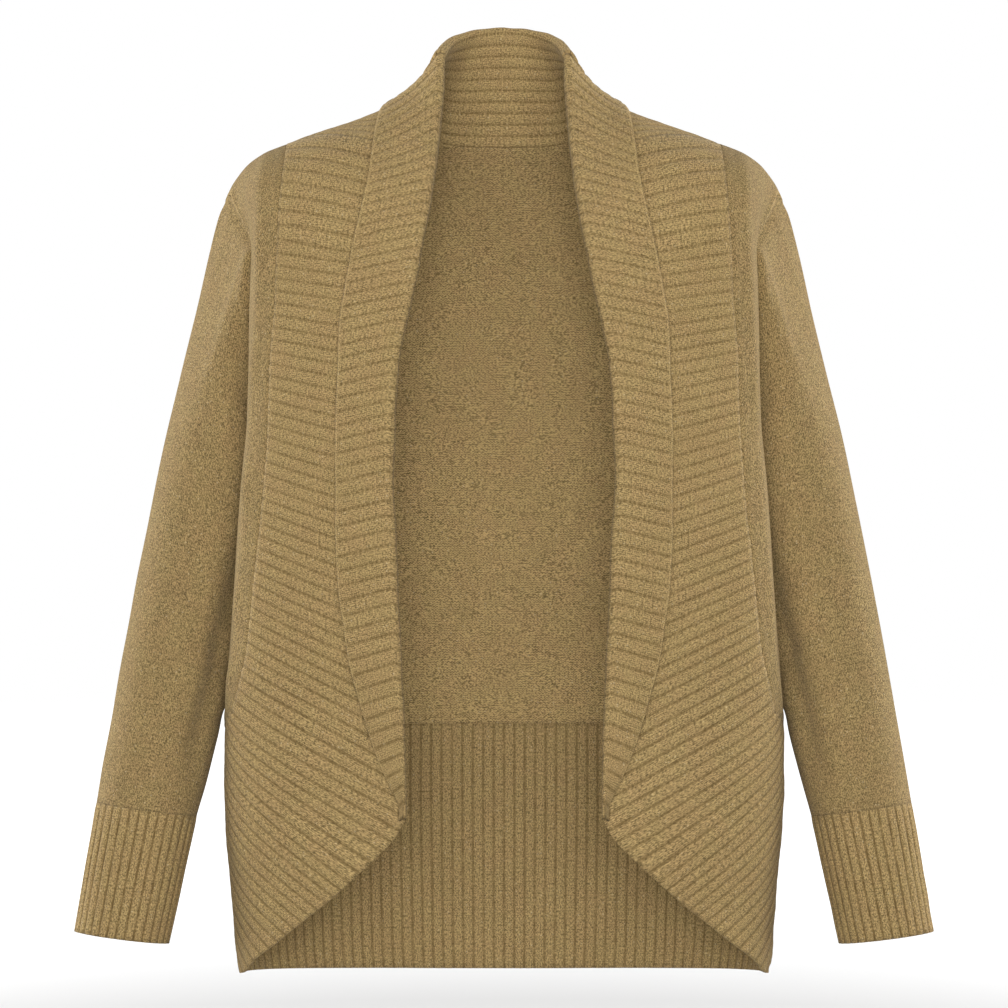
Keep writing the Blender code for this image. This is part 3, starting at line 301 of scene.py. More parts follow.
def level_of(x, z):
    rise = (z - CHEST_Z) / (ridge_z(x) - WALL / 2 - CHEST_Z)
    over = np.degrees(np.arcsin(clip01(rise))) * RIDGE_LEVEL / 90
    return np.where(z > CHEST_Z, over, z - CHEST_Z)


def ring_of(x, level, back=False):
    wide = look_up(TORSO, "back_x" if back else "front_x", level) - WALL / 2
    side = look_up(TORSO, "side_x", level) - WALL / 2
    part = np.degrees(np.arcsin(clip01(x / wide))) / 90
    over = np.where(side > wide + 1, clip01((x - wide) / np.maximum(side - wide, 1)), 0)
    part = part + unease(over)
    return 4 - part if back else part


def bilinear(table, row, col):
    """A table's value at fractional rows and columns."""
    row = np.clip(row, 0, table.shape[0] - 1.000001)
    col = np.clip(col, 0, table.shape[1] - 1.000001)
    i, j = row.astype(int), col.astype(int)
    r, c = row - i, col - j
    return ((table[i, j] * (1 - c) + table[i, j + 1] * c) * (1 - r)
            + (table[i + 1, j] * (1 - c) + table[i + 1, j + 1] * c) * r)


LEVELS = np.linspace(HEM_Z - CHEST_Z, RIDGE_LEVEL - 1, 160)
RINGS = np.linspace(0, 4, 4 * RING_STEPS + 1)
SHARES = np.linspace(0, 2, 2 * SHARE_STEPS + 1)


def girth_tables():
    """Share of the girth (0 centre front, 1 side seam, 2 centre back) by ring, and the reverse."""
    points = torso(RINGS[None, :], LEVELS[:, None])
    start = np.zeros((len(LEVELS), 1))
    run = np.concatenate([start, np.cumsum(gaps(points, 1), axis=1)], axis=1)
    middle = run[:, 2 * RING_STEPS, None]
    share = np.where(RINGS[None, :] <= 2, run / middle, 1 + (run - middle) / (run[:, -1:] - middle))
    return share, np.array([np.interp(SHARES, row, RINGS) for row in share])


SHARE_TABLE, RING_TABLE = girth_tables()


def level_row(level):
    return np.interp(level, LEVELS, np.arange(len(LEVELS)))


def share_at(ring, level):
    ring, level = np.broadcast_arrays(np.asarray(ring, float), np.asarray(level, float))
    return bilinear(SHARE_TABLE, level_row(level), ring * RING_STEPS)


def ring_at(share, level):
    share, level = np.broadcast_arrays(np.asarray(share, float), np.asarray(level, float))
    return bilinear(RING_TABLE, level_row(level), share * SHARE_STEPS)


def grid_normals(grid, outward):
    """Unit normals of a grid of points, on the side that the guide points to."""
    normals = unit(np.cross(np.gradient(grid, axis=0), np.gradient(grid, axis=1)))
    side = np.sign(np.sum(normals * outward, axis=-1, keepdims=True))
    return normals * np.where(side == 0, 1, side)


def wobble(seed, u, v, scale):
    """Smooth unevenness of about -1 to 1 over places u and v in mm, with lumps about scale wide."""
    rng = np.random.default_rng(seed)
    total = 0
    for _ in range(6):
        angle, phase = rng.uniform(0, 2 * math.pi, 2)
        wave = 2 * math.pi / (scale * rng.uniform(0.8, 2.2))
        total = total + np.sin((u * math.cos(angle) + v * math.sin(angle)) * wave + phase)
    return total / 3.0


def rib_height(phase):
    """A rib's height over its valley at 0: a narrow valley beside a broad, crowned ridge."""
    near = np.abs(phase - np.round(phase))
    return 1 - bump(near, 0, 0.15) * 0.90 - 0.12 * (0.5 - near)


def fold_lines(places, u, v):
    """Soft creases: rows of u0, v0, u1, v1, width and height, all mm; a trough has less than 0."""
    total = np.zeros(np.broadcast(u, v).shape)
    for u0, v0, u1, v1, width, height in places:
        du, dv = u1 - u0, v1 - v0
        long = math.hypot(du, dv)
        along = ((u - u0) * du + (v - v0) * dv) / long
        off = ((u - u0) * dv - (v - v0) * du) / long
        past = np.maximum(np.maximum(-along, along - long), 0)
        total += height * np.exp(-(off / width) ** 2 - (past / (1.6 * width)) ** 2)
    return total


# ---- materials
class Graph:
    """Short calls for one material's nodes."""

    def __init__(self, material):
        material.use_nodes = True
        self.nodes, self.links = material.node_tree.nodes, material.node_tree.links
        self.shader = self.nodes["Principled BSDF"]

    def put(self, socket, value):
        if hasattr(value, "is_output"):
            self.links.new(value, socket)
        else:
            socket.default_value = value

    def node(self, kind, *values, **settings):
        item = self.nodes.new(kind)
        for key, value in settings.items():
            setattr(item, key, value)
        for socket, value in zip(item.inputs, values):
            self.put(socket, value)
        return item

    def math(self, kind, a, b=0.0, c=0.0):
        return self.node("ShaderNodeMath", a, b, c, operation=kind).outputs[0]

    def times(self, a, b):
        return self.math("MULTIPLY", a, b)

    def minus(self, a, b):
        return self.math("SUBTRACT", a, b)

    def line(self, value, slope, start):
        return self.math("MULTIPLY_ADD", value, slope, start)

    def wave(self, turns):
        return self.math("COSINE", self.times(turns, 2 * math.pi))

    def noise(self, vector, scale, detail=2.0, rough=0.5):
        item = self.nodes.new("ShaderNodeTexNoise")
        names = ("Vector", "Scale", "Detail", "Roughness")
        for name, value in zip(names, (vector, scale, detail, rough)):
            self.put(item.inputs[name], value)
        return item.outputs["Fac"]

    def around_zero(self, vector, scale, detail=2.0, rough=0.5):
        return self.minus(self.noise(vector, scale, detail, rough), 0.5)

    def ramp(self, value, low, high, to_low=0.0, to_high=1.0):
        return self.node("ShaderNodeMapRange", value, low, high, to_low, to_high).outputs[0]

    def mix(self, fac, a, b, blend="MIX"):
        item = self.node("ShaderNodeMix", data_type="RGBA", blend_type=blend)
        for name, value in (("Factor", fac), ("A", a), ("B", b)):
            kinds = ("VALUE",) if name == "Factor" else ("RGBA",)
            self.put(next(i for i in item.inputs if i.name == name and i.type in kinds), value)
        return next(o for o in item.outputs if o.type == "RGBA")

    def vector(self, x, y, z=0.0):
        return self.node("ShaderNodeCombineXYZ", x, y, z).outputs[0]


def shade(colour, *factors):
    factors = factors if len(factors) == 3 else factors * 3
    return tuple(min(c * f, 1.0) for c, f in zip(colour, factors)) + (1.0,)


def stitch_height(graph, stitch, u, v):
    """Height of the yarn, 0 to 1: columns of V stitches, or rows of wavy bumps on the reverse."""
    wale = graph.times(u, 1 / (WALE * MM))
    course = graph.times(v, 1 / (COURSE * MM))
    if stitch == "reverse":
        return graph.line(graph.wave(graph.line(graph.wave(wale), 0.24, course)), 0.5, 0.5)
    off = graph.math("ABSOLUTE", graph.minus(graph.math("FRACT", wale), 0.5))
    loop = graph.wave(graph.line(off, -1.6, course))
    leg = graph.line(off, 4.0, -1.0)
    arch = graph.minus(1.0, graph.times(leg, leg))
    return graph.times(arch, graph.line(loop, 0.35, 0.65))


# The knit's noises, lumps per metre, and how far the first two move its stitches, metres.
WAVER_U_SCALE, WAVER_V_SCALE = 150, 90
WAVER_U, WAVER_V = 0.0022, 0.0030
FINE_SCALE, SOFT_SCALE, PATCH_SCALE, WARM_SCALE, BROAD_SCALE = 720, 300, 60, 55, 22
FLECK_SCALE, SPOT_SCALE = 400, 95
FLECK_SHARE = 0.10
FLECK_COLOUR = (0.66, 0.55, 0.35, 1.0)
SHEEN_COLOUR = (1.0, 0.88, 0.68, 1.0)
STRANDS = {"face": (1.65, 1.65, 1.00), "reverse": (0.95, 0.95, 1.85)}   # stretch of its threads
RIB_STRANDS = (1.35, 0.75)
TICK_FROM, TICK_TO = 0.28, 0.46     # along the band, metres: the ticks of painted shade run together between these


def rib_painted_shade(graph, flat_u, flat_v, v, rib, ladder):
    """Painted shade in the valley between two ribs: how dark each place is made, 0 to 1, with ticks
    where asked.
    """
    phase = graph.math("FRACT", graph.times(flat_u, 1 / (rib * MM)))
    near = graph.math("ABSOLUTE", graph.minus(phase, 0.5))
    spots = graph.noise(graph.vector(graph.times(flat_u, 0.7), flat_v), SPOT_SCALE, 3.0, 0.6)
    painted_shade_amount = graph.times(graph.ramp(near, 0.32, 0.47), graph.ramp(spots, 0.34, 0.60, 0.45, 1.0))
    if not ladder:
        return painted_shade_amount
    tick = graph.math("SINE", graph.times(v, 2 * math.pi / (ladder * MM)))
    apart = graph.ramp(flat_u, TICK_FROM, TICK_TO, 0.30, 0.08)
    tick = graph.math("ADD", graph.times(tick, apart), graph.minus(0.95, apart))
    return graph.times(painted_shade_amount, tick)


def knit_material(name, stitch, colour, grain, rib=0.0, valley=0.6, ladder=0.0):
    """Heathered yarn. stitch: face or reverse; grain: strength of its threads; rib: pitch of the
    ribs, mm, or 0 where there are none; valley: strength of the painted shade between ribs; ladder:
    length of the ticks of that painted shade, mm, or 0. The ticks run together into a line further
    down."""
    material = bpy.data.materials.new(name)
    graph = Graph(material)
    place = graph.nodes.new("ShaderNodeTexCoord").outputs["Object"]
    uv = graph.nodes.new("ShaderNodeUVMap")
    uv.uv_map = "UVMap"
    split = graph.node("ShaderNodeSeparateXYZ", uv.outputs[0])
    flat_u, flat_v = split.outputs[0], split.outputs[1]
    u = graph.line(graph.around_zero(place, WAVER_U_SCALE), WAVER_U, flat_u)
    v = graph.line(graph.around_zero(place, WAVER_V_SCALE), WAVER_V, flat_v)
    height = stitch_height(graph, stitch, u, v)
    if rib:
        across, along = RIB_STRANDS
        strands = graph.vector(graph.times(flat_u, across), graph.times(flat_v, along))
    else:
        strands = graph.node("ShaderNodeVectorMath", place, STRANDS[stitch],
                             operation="MULTIPLY").outputs[0]
    fine = graph.around_zero(strands, FINE_SCALE, 2.0, 0.6)
    uneven = graph.around_zero(place, SOFT_SCALE, 2.0, 0.6)
    patch = graph.ramp(graph.noise(place, PATCH_SCALE, 2.0), 0.35, 0.62, 0.30, 1.0)
    yarn = graph.times(graph.line(height, 0.80, -0.36), patch)
    yarn = graph.line(fine, grain, yarn)
    yarn = graph.line(uneven, 0.35, yarn)
    yarn = graph.math("ADD", yarn, 0.5)
    base = graph.mix(graph.ramp(yarn, 0.0, 1.0), shade(colour, 0.38), shade(colour, 1.62))
    warm = graph.ramp(graph.noise(place, WARM_SCALE, 3.0), 0.40, 0.62)
    base = graph.mix(graph.times(warm, 0.5), base, shade((1.0, 1.0, 1.0), 1.0, 0.93, 0.98),
                     "MULTIPLY")
    broad = graph.ramp(graph.noise(place, BROAD_SCALE, 3.0), 0.3, 0.7, 0.0, 0.16)
    base = graph.mix(broad, base, shade(colour, 0.80, 0.78, 0.72))
    flecks = graph.node("ShaderNodeTexVoronoi", place)
    flecks.inputs["Scale"].default_value = FLECK_SCALE
    pick = graph.node("ShaderNodeSeparateColor", flecks.outputs["Color"]).outputs[0]
    fleck = graph.times(graph.math("GREATER_THAN", pick, 1 - FLECK_SHARE),
                        graph.ramp(flecks.outputs["Distance"], 0.34, 0.10, 0.0, 0.40))
    base = graph.mix(fleck, base, FLECK_COLOUR)
    # Painted shade: the knit is darkened in the valleys between ribs.
    if rib:
        painted_shade_amount = rib_painted_shade(graph, flat_u, flat_v, v, rib, ladder)
        base = graph.mix(graph.times(painted_shade_amount, valley), base, shade(colour, 0.40, 0.36, 0.30))
    graph.put(graph.shader.inputs["Base Color"], base)
    bump_map = graph.nodes.new("ShaderNodeBump")
    bump_map.inputs["Strength"].default_value = 0.6
    bump_map.inputs["Distance"].default_value = 0.0005
    graph.put(bump_map.inputs["Height"], yarn)
    graph.put(graph.shader.inputs["Normal"], bump_map.outputs[0])
    for socket, value in (("Roughness", 0.95), ("Specular IOR Level", 0.10), ("Sheen Weight", 0.12),
                          ("Sheen Roughness", 0.40), ("Sheen Tint", SHEEN_COLOUR)):
        graph.shader.inputs[socket].default_value = value
    return material


YARN = (0.318, 0.2255, 0.0962)
# The plain knit is made darker than the yarn: painted shade for the sleeves, strips and back.
PLAIN = knit_material("knit_face_painted_shade", "face", tuple(c * 0.87 for c in YARN), 3.5)
# The reverse face is made lighter than the yarn: painted light that brightens the shaded inside of
# the garment.
PURL = knit_material("knit_reverse_painted_light", "reverse", tuple(c * 1.10 for c in YARN), 4.2)
BAND_RIB = knit_material("knit_band_rib", "face", YARN, 2.6, BAND_PITCH, 0.85, 4.2)
HEM_RIB = knit_material("knit_hem_rib", "face", YARN, 2.8, HEM_PITCH, 0.70)
CUFF_RIB = knit_material("knit_cuff_rib", "face", YARN, 2.8, CUFF_PITCH, 0.95)
# The edges' yarn is lighter: a selvedge, with a painted highlight along the seam's welt.
EDGE = knit_material("knit_selvedge_and_highlight", "face", tuple(c * 1.14 for c in YARN), 2.4)


# ---- building a shell
class Shell:
    """One closed cloth piece, put together from grids of points with their places in the knit."""

    def __init__(self):
        self.points, self.places, self.faces, self.slots = [], [], [], []
        self.count = 0

    def add(self, grid, u, v):
        rows, columns = grid.shape[:2]
        self.points.append(grid.reshape(-1, 3))
        u, v = np.broadcast_to(u, (rows, columns)), np.broadcast_to(v, (rows, columns))
        self.places.append(np.stack([u, v], axis=-1).reshape(-1, 2))
        index = np.arange(rows * columns).reshape(rows, columns) + self.count
        self.count += rows * columns
        return index

    def skin(self, index, slot=0):
        quads = np.stack([index[:-1, :-1], index[1:, :-1], index[1:, 1:], index[:-1, 1:]], axis=-1)
        self.faces.append(quads.reshape(-1, 4))
        self.slots.append(np.full(quads.shape[0] * quads.shape[1], slot))

    def rim(self, one, two, slot):
        self.skin(np.stack([one, two]), slot)

    def edges(self, one, two, closed=False, side_slot=0):
        """Close a shell's two faces at their ends, and at their sides if they aren't a tube's."""
        for end in (0, -1):
            self.rim(one[end], two[end], 0)
            if not closed:
                self.rim(one[:, end], two[:, end], side_slot)

    def build(self, name, materials, node, mirror=False):
        points = np.concatenate(self.points) * MM
        if mirror:
            points = points * (-1, 1, 1)
        places = np.concatenate(self.places) * MM
        faces = np.concatenate(self.faces)
        mesh = bpy.data.meshes.new(name)
        mesh.from_pydata(points.tolist(), [], faces.tolist())
        mesh.polygons.foreach_set("material_index", np.concatenate(self.slots).astype(np.int32))
        corners = np.empty(len(mesh.loops), np.int32)
        mesh.loops.foreach_get("vertex_index", corners)
        layer = mesh.uv_layers.new(name="UVMap")
        layer.data.foreach_set("uv", places[corners].astype(np.float32).ravel())
        for material in materials:
            mesh.materials.append(material)
        work = bmesh.new()
        work.from_mesh(mesh)
        bmesh.ops.remove_doubles(work, verts=work.verts, dist=0.000002)
        bmesh.ops.recalc_face_normals(work, faces=work.faces)
        work.to_mesh(mesh)
        work.free()
        mesh.shade_smooth()
        item = bpy.data.objects.new(name, mesh)
        bpy.context.scene.collection.objects.link(item)
        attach(item, "root")
        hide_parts(node)
        return item


def lengths(grid):
    """Mean distance along each axis of a grid, from its first row and first column."""
    return running(gaps(grid).mean(axis=1)), running(gaps(grid, 1).mean(axis=0))


def note_cut(node, *grids):
    """Work out a piece's cut, metres: the longest row, the longest column and the area of its
    middle surface before any relief; nothing is kept or returned. A second grid goes on from the
    first one's rows."""
    rows, longest, area = np.zeros(len(grids[0])), 0.0, 0.0
    for grid in grids:
        rows[:len(grid)] += gaps(grid, 1).sum(axis=1)
        longest = max(longest, gaps(grid).sum(axis=0).max())
        over = grid[1:, 1:] - grid[:-1, :-1]
        for side in (grid[1:, :-1] - grid[:-1, :-1], grid[:-1, 1:] - grid[:-1, :-1]):
            area += np.linalg.norm(np.cross(side, over), axis=2).sum() / 2


def plain_shell(name, node, grid, normals, relief, mirror=False, closed=False, axis=None,
                edge_columns=0):
    """A shell with one plain wall, whose relief moves both faces. Its knit runs along the columns,
    or along a tube's axis where one is given. The last edge_columns are the seam's lighter edge: a
    selvedge, with a painted highlight on it."""
    if axis is None:
        u = np.cumsum(np.linalg.norm(np.diff(grid, axis=1, prepend=grid[:, :1]), axis=2), axis=1)
        u = u - u[:, u.shape[1] // 2, None]
        v = np.cumsum(np.linalg.norm(np.diff(grid, axis=0, prepend=grid[:1]), axis=2), axis=0)
    else:
        v = grid @ axis
        beside = grid - grid[-1].mean(axis=0)
        beside = beside - (beside @ axis)[..., None] * axis
        front = np.array([0, -1.0, 0]) + axis[1] * axis
        turn = np.unwrap(np.arctan2(beside @ np.cross(axis, front), beside @ front), axis=1)
        u = turn * np.linalg.norm(beside, axis=2).mean()
    note_cut(node, grid)
    middle = grid + normals * relief[..., None]
    shell = Shell()
    outer = shell.add(middle + normals * WALL / 2, u, v)
    inner = shell.add(middle - normals * WALL / 2, u, v)
    plain = grid.shape[1] - edge_columns
    shell.skin(outer[:, :plain], 0)
    if edge_columns:
        shell.skin(outer[:, plain - 1:], 2)
    shell.skin(inner, 1)
    shell.edges(outer, inner, closed)
    return shell.build(name, (PLAIN, PURL, EDGE), node, mirror)


# ---- the front band
def rib_value(rib, name):
    return look_up(RIB_LEVELS, name, rib)


def seam_place(ribs):
    """Share of the girth and level where ribs start."""
    ridge_x = NECK_X + (STRIP_TOP_X - NECK_X) * clip01(ribs / RIDGE_RIBS)
    ridge_share = share_at(ring_of(ridge_x, RIDGE_LEVEL), RIDGE_LEVEL)
    z = rib_value(np.clip(ribs, RIDGE_RIBS, STRIP_RIBS), "seam_z")
    x = look_up(STRIP_SEAM, "x", z)
    strip_level = level_of(x, z)
    strip_share = share_at(ring_of(x, strip_level), strip_level)
    corner_z = float(rib_value(STRIP_RIBS, "seam_z"))
    corner_x = float(look_up(STRIP_SEAM, "x", corner_z))
    corner_level = float(level_of(corner_x, corner_z))
    corner_share = float(share_at(ring_of(corner_x, corner_level), corner_level))
    part = clip01((ribs - STRIP_RIBS) / (TIP_RIBS - STRIP_RIBS))
    tip = HEM_TOP_Z - CHEST_Z
    turn_level = corner_level + (tip - corner_level) * (1 - (1 - part) ** 1.7)
    turn_share = corner_share + (1 - corner_share) * part
    side_part = clip01((ribs - TIP_RIBS) / (BAND_RIBS - TIP_RIBS))
    side_level = tip + (HEM_Z - HEM_TOP_Z) * side_part
    where = [ribs <= RIDGE_RIBS, ribs <= STRIP_RIBS, ribs <= TIP_RIBS]
    share = np.select(where, [ridge_share, strip_share, turn_share], 1.0)
    level = np.select(where, [RIDGE_LEVEL + 0 * ribs, strip_level, turn_level], side_level)
    return share, level


def crest(ribs):
    z = rib_value(np.clip(ribs, 0, STRIP_RIBS), "fold_z")
    x, y = (look_up(FOLD, name, z) for name in ("x", "y"))
    return np.stack([x, y, z], axis=-1)


def inner_place(ribs):
    """Share of the girth, level and point where ribs end: at the fold, then the lower edge."""
    fold = crest(ribs)
    own = level_of(fold[:, 0], fold[:, 2])
    deep = np.abs(torso(ring_of(fold[:, 0], 0.0), 0.0)[:, 1])
    full = fullness(fold[:, 0])
    rise = (1 - np.minimum(np.abs(fold[:, 1]) / deep, 1) ** full) ** (1 / full)
    by_depth = np.degrees(np.arcsin(rise)) * RIDGE_LEVEL / 90
    fold_level = own + (by_depth - own) * soft((fold[:, 2] + 100) / 60)
    fold_share = share_at(ring_of(fold[:, 0], fold_level), fold_level)
    first = LOWER_EDGE["rib"][-1]
    low = np.clip(ribs, STRIP_RIBS, first)
    x = look_up(LOWER_EDGE, "x", low)
    z = look_up(LOWER_EDGE, "z", low)
    level = level_of(x, z)
    share = share_at(ring_of(x, level), level)
    part = clip01((ribs - first) / (BAND_RIBS - first))
    share = share + (0.965 - share) * part
    level = level + (HEM_Z - CHEST_Z + 0.6 - level) * part
    folded = ribs <= STRIP_RIBS
    share, level = np.where(folded, fold_share, share), np.where(folded, fold_level, level)
    reached = torso(ring_at(share, level), level)
    return share, level, np.where(folded[:, None], fold, reached), reached


def lapel_edge(ribs):
    z = rib_value(ribs, "edge_z")
    x = np.maximum(look_up(LAPEL_EDGE, "x", z), crest(ribs)[:, 0] + LEAST_LAPEL)
    level = level_of(x, z)
    ring = ring_of(x, level)
    across = torso(ring + 0.01, level) - torso(ring - 0.01, level)
    up = torso(ring, np.minimum(level, 97) + 0.4) - torso(ring, np.minimum(level, 97) - 0.4)
    return torso(ring, level) + unit(np.cross(across, up)) * LAPEL_LIFT


def turn_over(last, ahead, out, edge, radius, puff, loop, lapel):
    """Points over a fold's loop and along the layer turned back, with normals of its under side."""
    up = unit(out - ahead * np.sum(out * ahead, axis=-1, keepdims=True))
    centre = last + up * radius
    angle = np.linspace(0, math.pi, loop + 1)[1:][None, :, None]
    arm = ahead[:, None] * np.sin(angle) - up[:, None] * np.cos(angle)
    points = centre[:, None] + arm * radius[:, None]
    start = points[:, -1]
    back = unit(edge - start)
    over = unit(np.cross(back, unit(np.cross(ahead, up))))
    over = over * np.sign(np.sum(over * up, axis=-1, keepdims=True))
    part = np.linspace(0, 1, lapel + 1)[1:][None, :, None]
    bow = np.sin(math.pi * part) * (puff * np.minimum(1, radius / TURN_RADIUS_TOP))[:, None]
    flap = start[:, None] + (edge - start)[:, None] * part + over[:, None] * bow
    normals = np.concatenate([-arm, np.broadcast_to(-over[:, None], flap.shape)], axis=1)
    blended = normals.copy()
    for k in range(loop - 3, loop + 3):
        blended[:, k] = unit(normals[:, k - 2:k + 3].sum(axis=1))
    return np.concatenate([points, flap], axis=1), blended


def band_lift(ribs, run, crown, tone):
    """Half the band's thickness, with ribs that are flatter over the fold's crown."""
    uneven = 0.76 + 0.26 * wobble(tone, (ribs * BAND_PITCH)[:, None], run[None, :], 26)
    calm = (1 - CROWN_CALM * bump(run, crown, CROWN_REACH))[None, :]
    calm = np.where((ribs <= STRIP_RIBS)[:, None], calm, 1)
    height = 0.8 + (rib_height(ribs)[:, None] - 0.8) * calm
    return WALL / 2 - RIB_SINK + RIB_RISE * height * uneven


def band(name, seed, mirror):
    """A ribbed front band with its turned-back lapel and rounded lower corner."""
    ribs = (np.arange(BAND_RIBS)[:, None] + np.array(RIB_PLACES)).ravel()
    ribs = np.append(ribs, BAND_RIBS)
    parts = np.linspace(0, 1, UNDER_COUNT)[None, :]
    seam_share, seam_level = seam_place(ribs)
    end_share, end_level, end, reached = inner_place(ribs)
    share = seam_share[:, None] + (end_share - seam_share)[:, None] * parts
    level = seam_level[:, None] + (end_level - seam_level)[:, None] * parts
    late = 1.3 + 1.2 * np.minimum(ribs / RIDGE_RIBS, 1)
    under = torso(ring_at(share, level), level)
    under += (end - reached)[:, None] * (parts ** late[:, None])[..., None]
    guide = under * (1, 1, 0) + np.array([0, 0, 1.0]) * np.where(under[..., 2:] > 0, 60, 1)
    normal = grid_normals(under, guide)
    folded = ribs <= STRIP_RIBS
    left = clip01((STRIP_RIBS - ribs) / 12)
    full = TURN_RADIUS_TOP + (TURN_RADIUS - TURN_RADIUS_TOP) * clip01(ribs / RIDGE_RIBS)
    radius = (TURN_RADIUS_END + (full - TURN_RADIUS_END) * ease(left))[:, None]
    puff = LAPEL_PUFF - (LAPEL_PUFF + TOP_SAG) * soft(1 - ribs / SAG_RIBS)[:, None]
    ahead = unit(under[:, -1] - under[:, -4])
    cut = folded[:, None, None] * ahead[:, None] * radius[:, None] * (parts ** 6)[..., None]
    under -= cut
    rows = folded.nonzero()[0]
    turned, turned_normal = turn_over(under[rows, -1], ahead[rows], normal[rows, -1],
                                      lapel_edge(ribs[rows]), radius[rows], puff[rows], LOOP_COUNT,
                                      LAPEL_COUNT)
    near_top = clip01(1 - ribs / 3)[:, None]
    under[..., 1] -= near_top ** 2 * under[0, :, 1]
    turned[..., 1] -= near_top[rows] ** 2 * turned[0, :, 1]
    normal[..., 1] *= 1 - near_top ** 4
    turned_normal[..., 1] *= 1 - near_top[rows] ** 4
    normal, turned_normal = unit(normal), unit(turned_normal)
    note_cut(name, under, np.concatenate([under[rows, -1:], turned], axis=1))
    across = running(gaps(under, 1).mean(axis=0))
    step = gaps(turned, 1).mean(axis=0)
    beyond = across[-1] + np.concatenate([[TURN_RADIUS], TURN_RADIUS + np.cumsum(step)])
    u = (ribs * BAND_PITCH)[:, None]
    shell = Shell()
    faces = []
    crown = across[-1] + math.pi * TURN_RADIUS / 2
    fade = np.minimum(1, np.arange(turned.shape[1])[::-1] / 3)[None, :]
    for sign, tone in ((1, seed), (-1, seed + 1)):
        lift = band_lift(ribs, across, crown, tone)
        swell = 0.5 * wobble(seed + 7, u, across[None, :], 60)
        near = shell.add(under + normal * (sign * lift + swell)[..., None], u, across[None, :])
        lift = band_lift(ribs[rows], beyond, crown, tone + 3)
        swell = 0.5 * wobble(seed + 9, u[rows], beyond[None, :], 45)
        lift = np.where(fade < 1, 0.6 + (lift - 0.6) * (0.4 + 0.6 * fade), lift)
        moved = turned + turned_normal * (sign * lift + swell)[..., None]
        far = shell.add(moved, u[rows], beyond[None, :])
        shell.skin(near, 0)
        joint = np.concatenate([near[rows, -1:], far], axis=1)
        shell.skin(joint[:, :-1], 0)
        shell.skin(joint[:, -2:], 1)
        faces.append((near, joint))
    (near_a, far_a), (near_b, far_b) = faces
    shell.rim(near_a[:, 0], near_b[:, 0], 0)
    shell.rim(near_a[0], near_b[0], 0)
    shell.rim(far_a[0], far_b[0], 0)
    shell.rim(near_a[-1], near_b[-1], 1)
    shell.rim(far_a[-1], far_b[-1], 1)
    shell.rim(far_a[:, -1], far_b[:, -1], 1)
    shell.rim(near_a[rows[-1]:, -1], near_b[rows[-1]:, -1], 1)
    return shell.build(name + "_knit", (BAND_RIB, EDGE), name, mirror)


# ---- plain pieces
def armhole_ring(level, name):
    return look_up(ARMHOLE, name, level)


def side_normals(grid):
    """Outward normals of a piece that lies round the body."""
    guide = grid * (1, 1, 0) + np.array([0, 0, 1.0]) * np.where(grid[..., 2:] > CHEST_Z, 60, 0)
    return grid_normals(grid, guide)


def strip(name, seed, mirror):
    """The plain side-front strip, with a soft roll beside the band's seam."""
    ribs = np.linspace(RIDGE_RIBS, TIP_RIBS, 500)
    shares, levels = seam_place(ribs)
    rows = np.concatenate([np.linspace(RIDGE_LEVEL, -355, 190), np.linspace(-356, -373.4, 22)])
    order = np.argsort(levels)
    first = np.interp(rows, levels[order], shares[order])
    ring = np.where(rows > UNDERARM_LEVEL, armhole_ring(rows, "front_seam"), 2.0)
    last = share_at(ring, rows)
    parts = np.linspace(0, 1, 41)[None, :]
    share = first[:, None] + (last - first)[:, None] * parts
    grid = torso(ring_at(share, rows[:, None]), rows[:, None])
    normals = side_normals(grid)
    down, _ = lengths(grid)
    width = np.linalg.norm(grid[:, -1] - grid[:, 0], axis=1)[:, None]
    off = parts * width
    below = soft((RIDGE_LEVEL - rows) / 45)[:, None]
    roll = ROLL_RISE * bump(off, ROLL_PLACE, ROLL_REACH) * clip01((width - 12) / 14)
    uneven = 0.85 + 0.25 * wobble(seed, down[:, None], off, 55)
    roll = roll * uneven - DIP * bump(off, 0, DIP_REACH)
    roll = roll * below * clip01(width / 12)
    welt = (WELT_RISE * bump(width - off, WELT_PLACE, WELT_REACH)
            - GROOVE * bump(width - off, 0, GROOVE_REACH))
    roll = roll + welt * below * clip01(rows / 20)[:, None]
    tip = soft((rows - rows[-1]) / TIP_TAPER)[:, None]
    roll = roll * tip + TIP_LIFT * (1 - tip)
    return plain_shell(name + "_knit", name, grid, normals, roll, mirror, edge_columns=2)


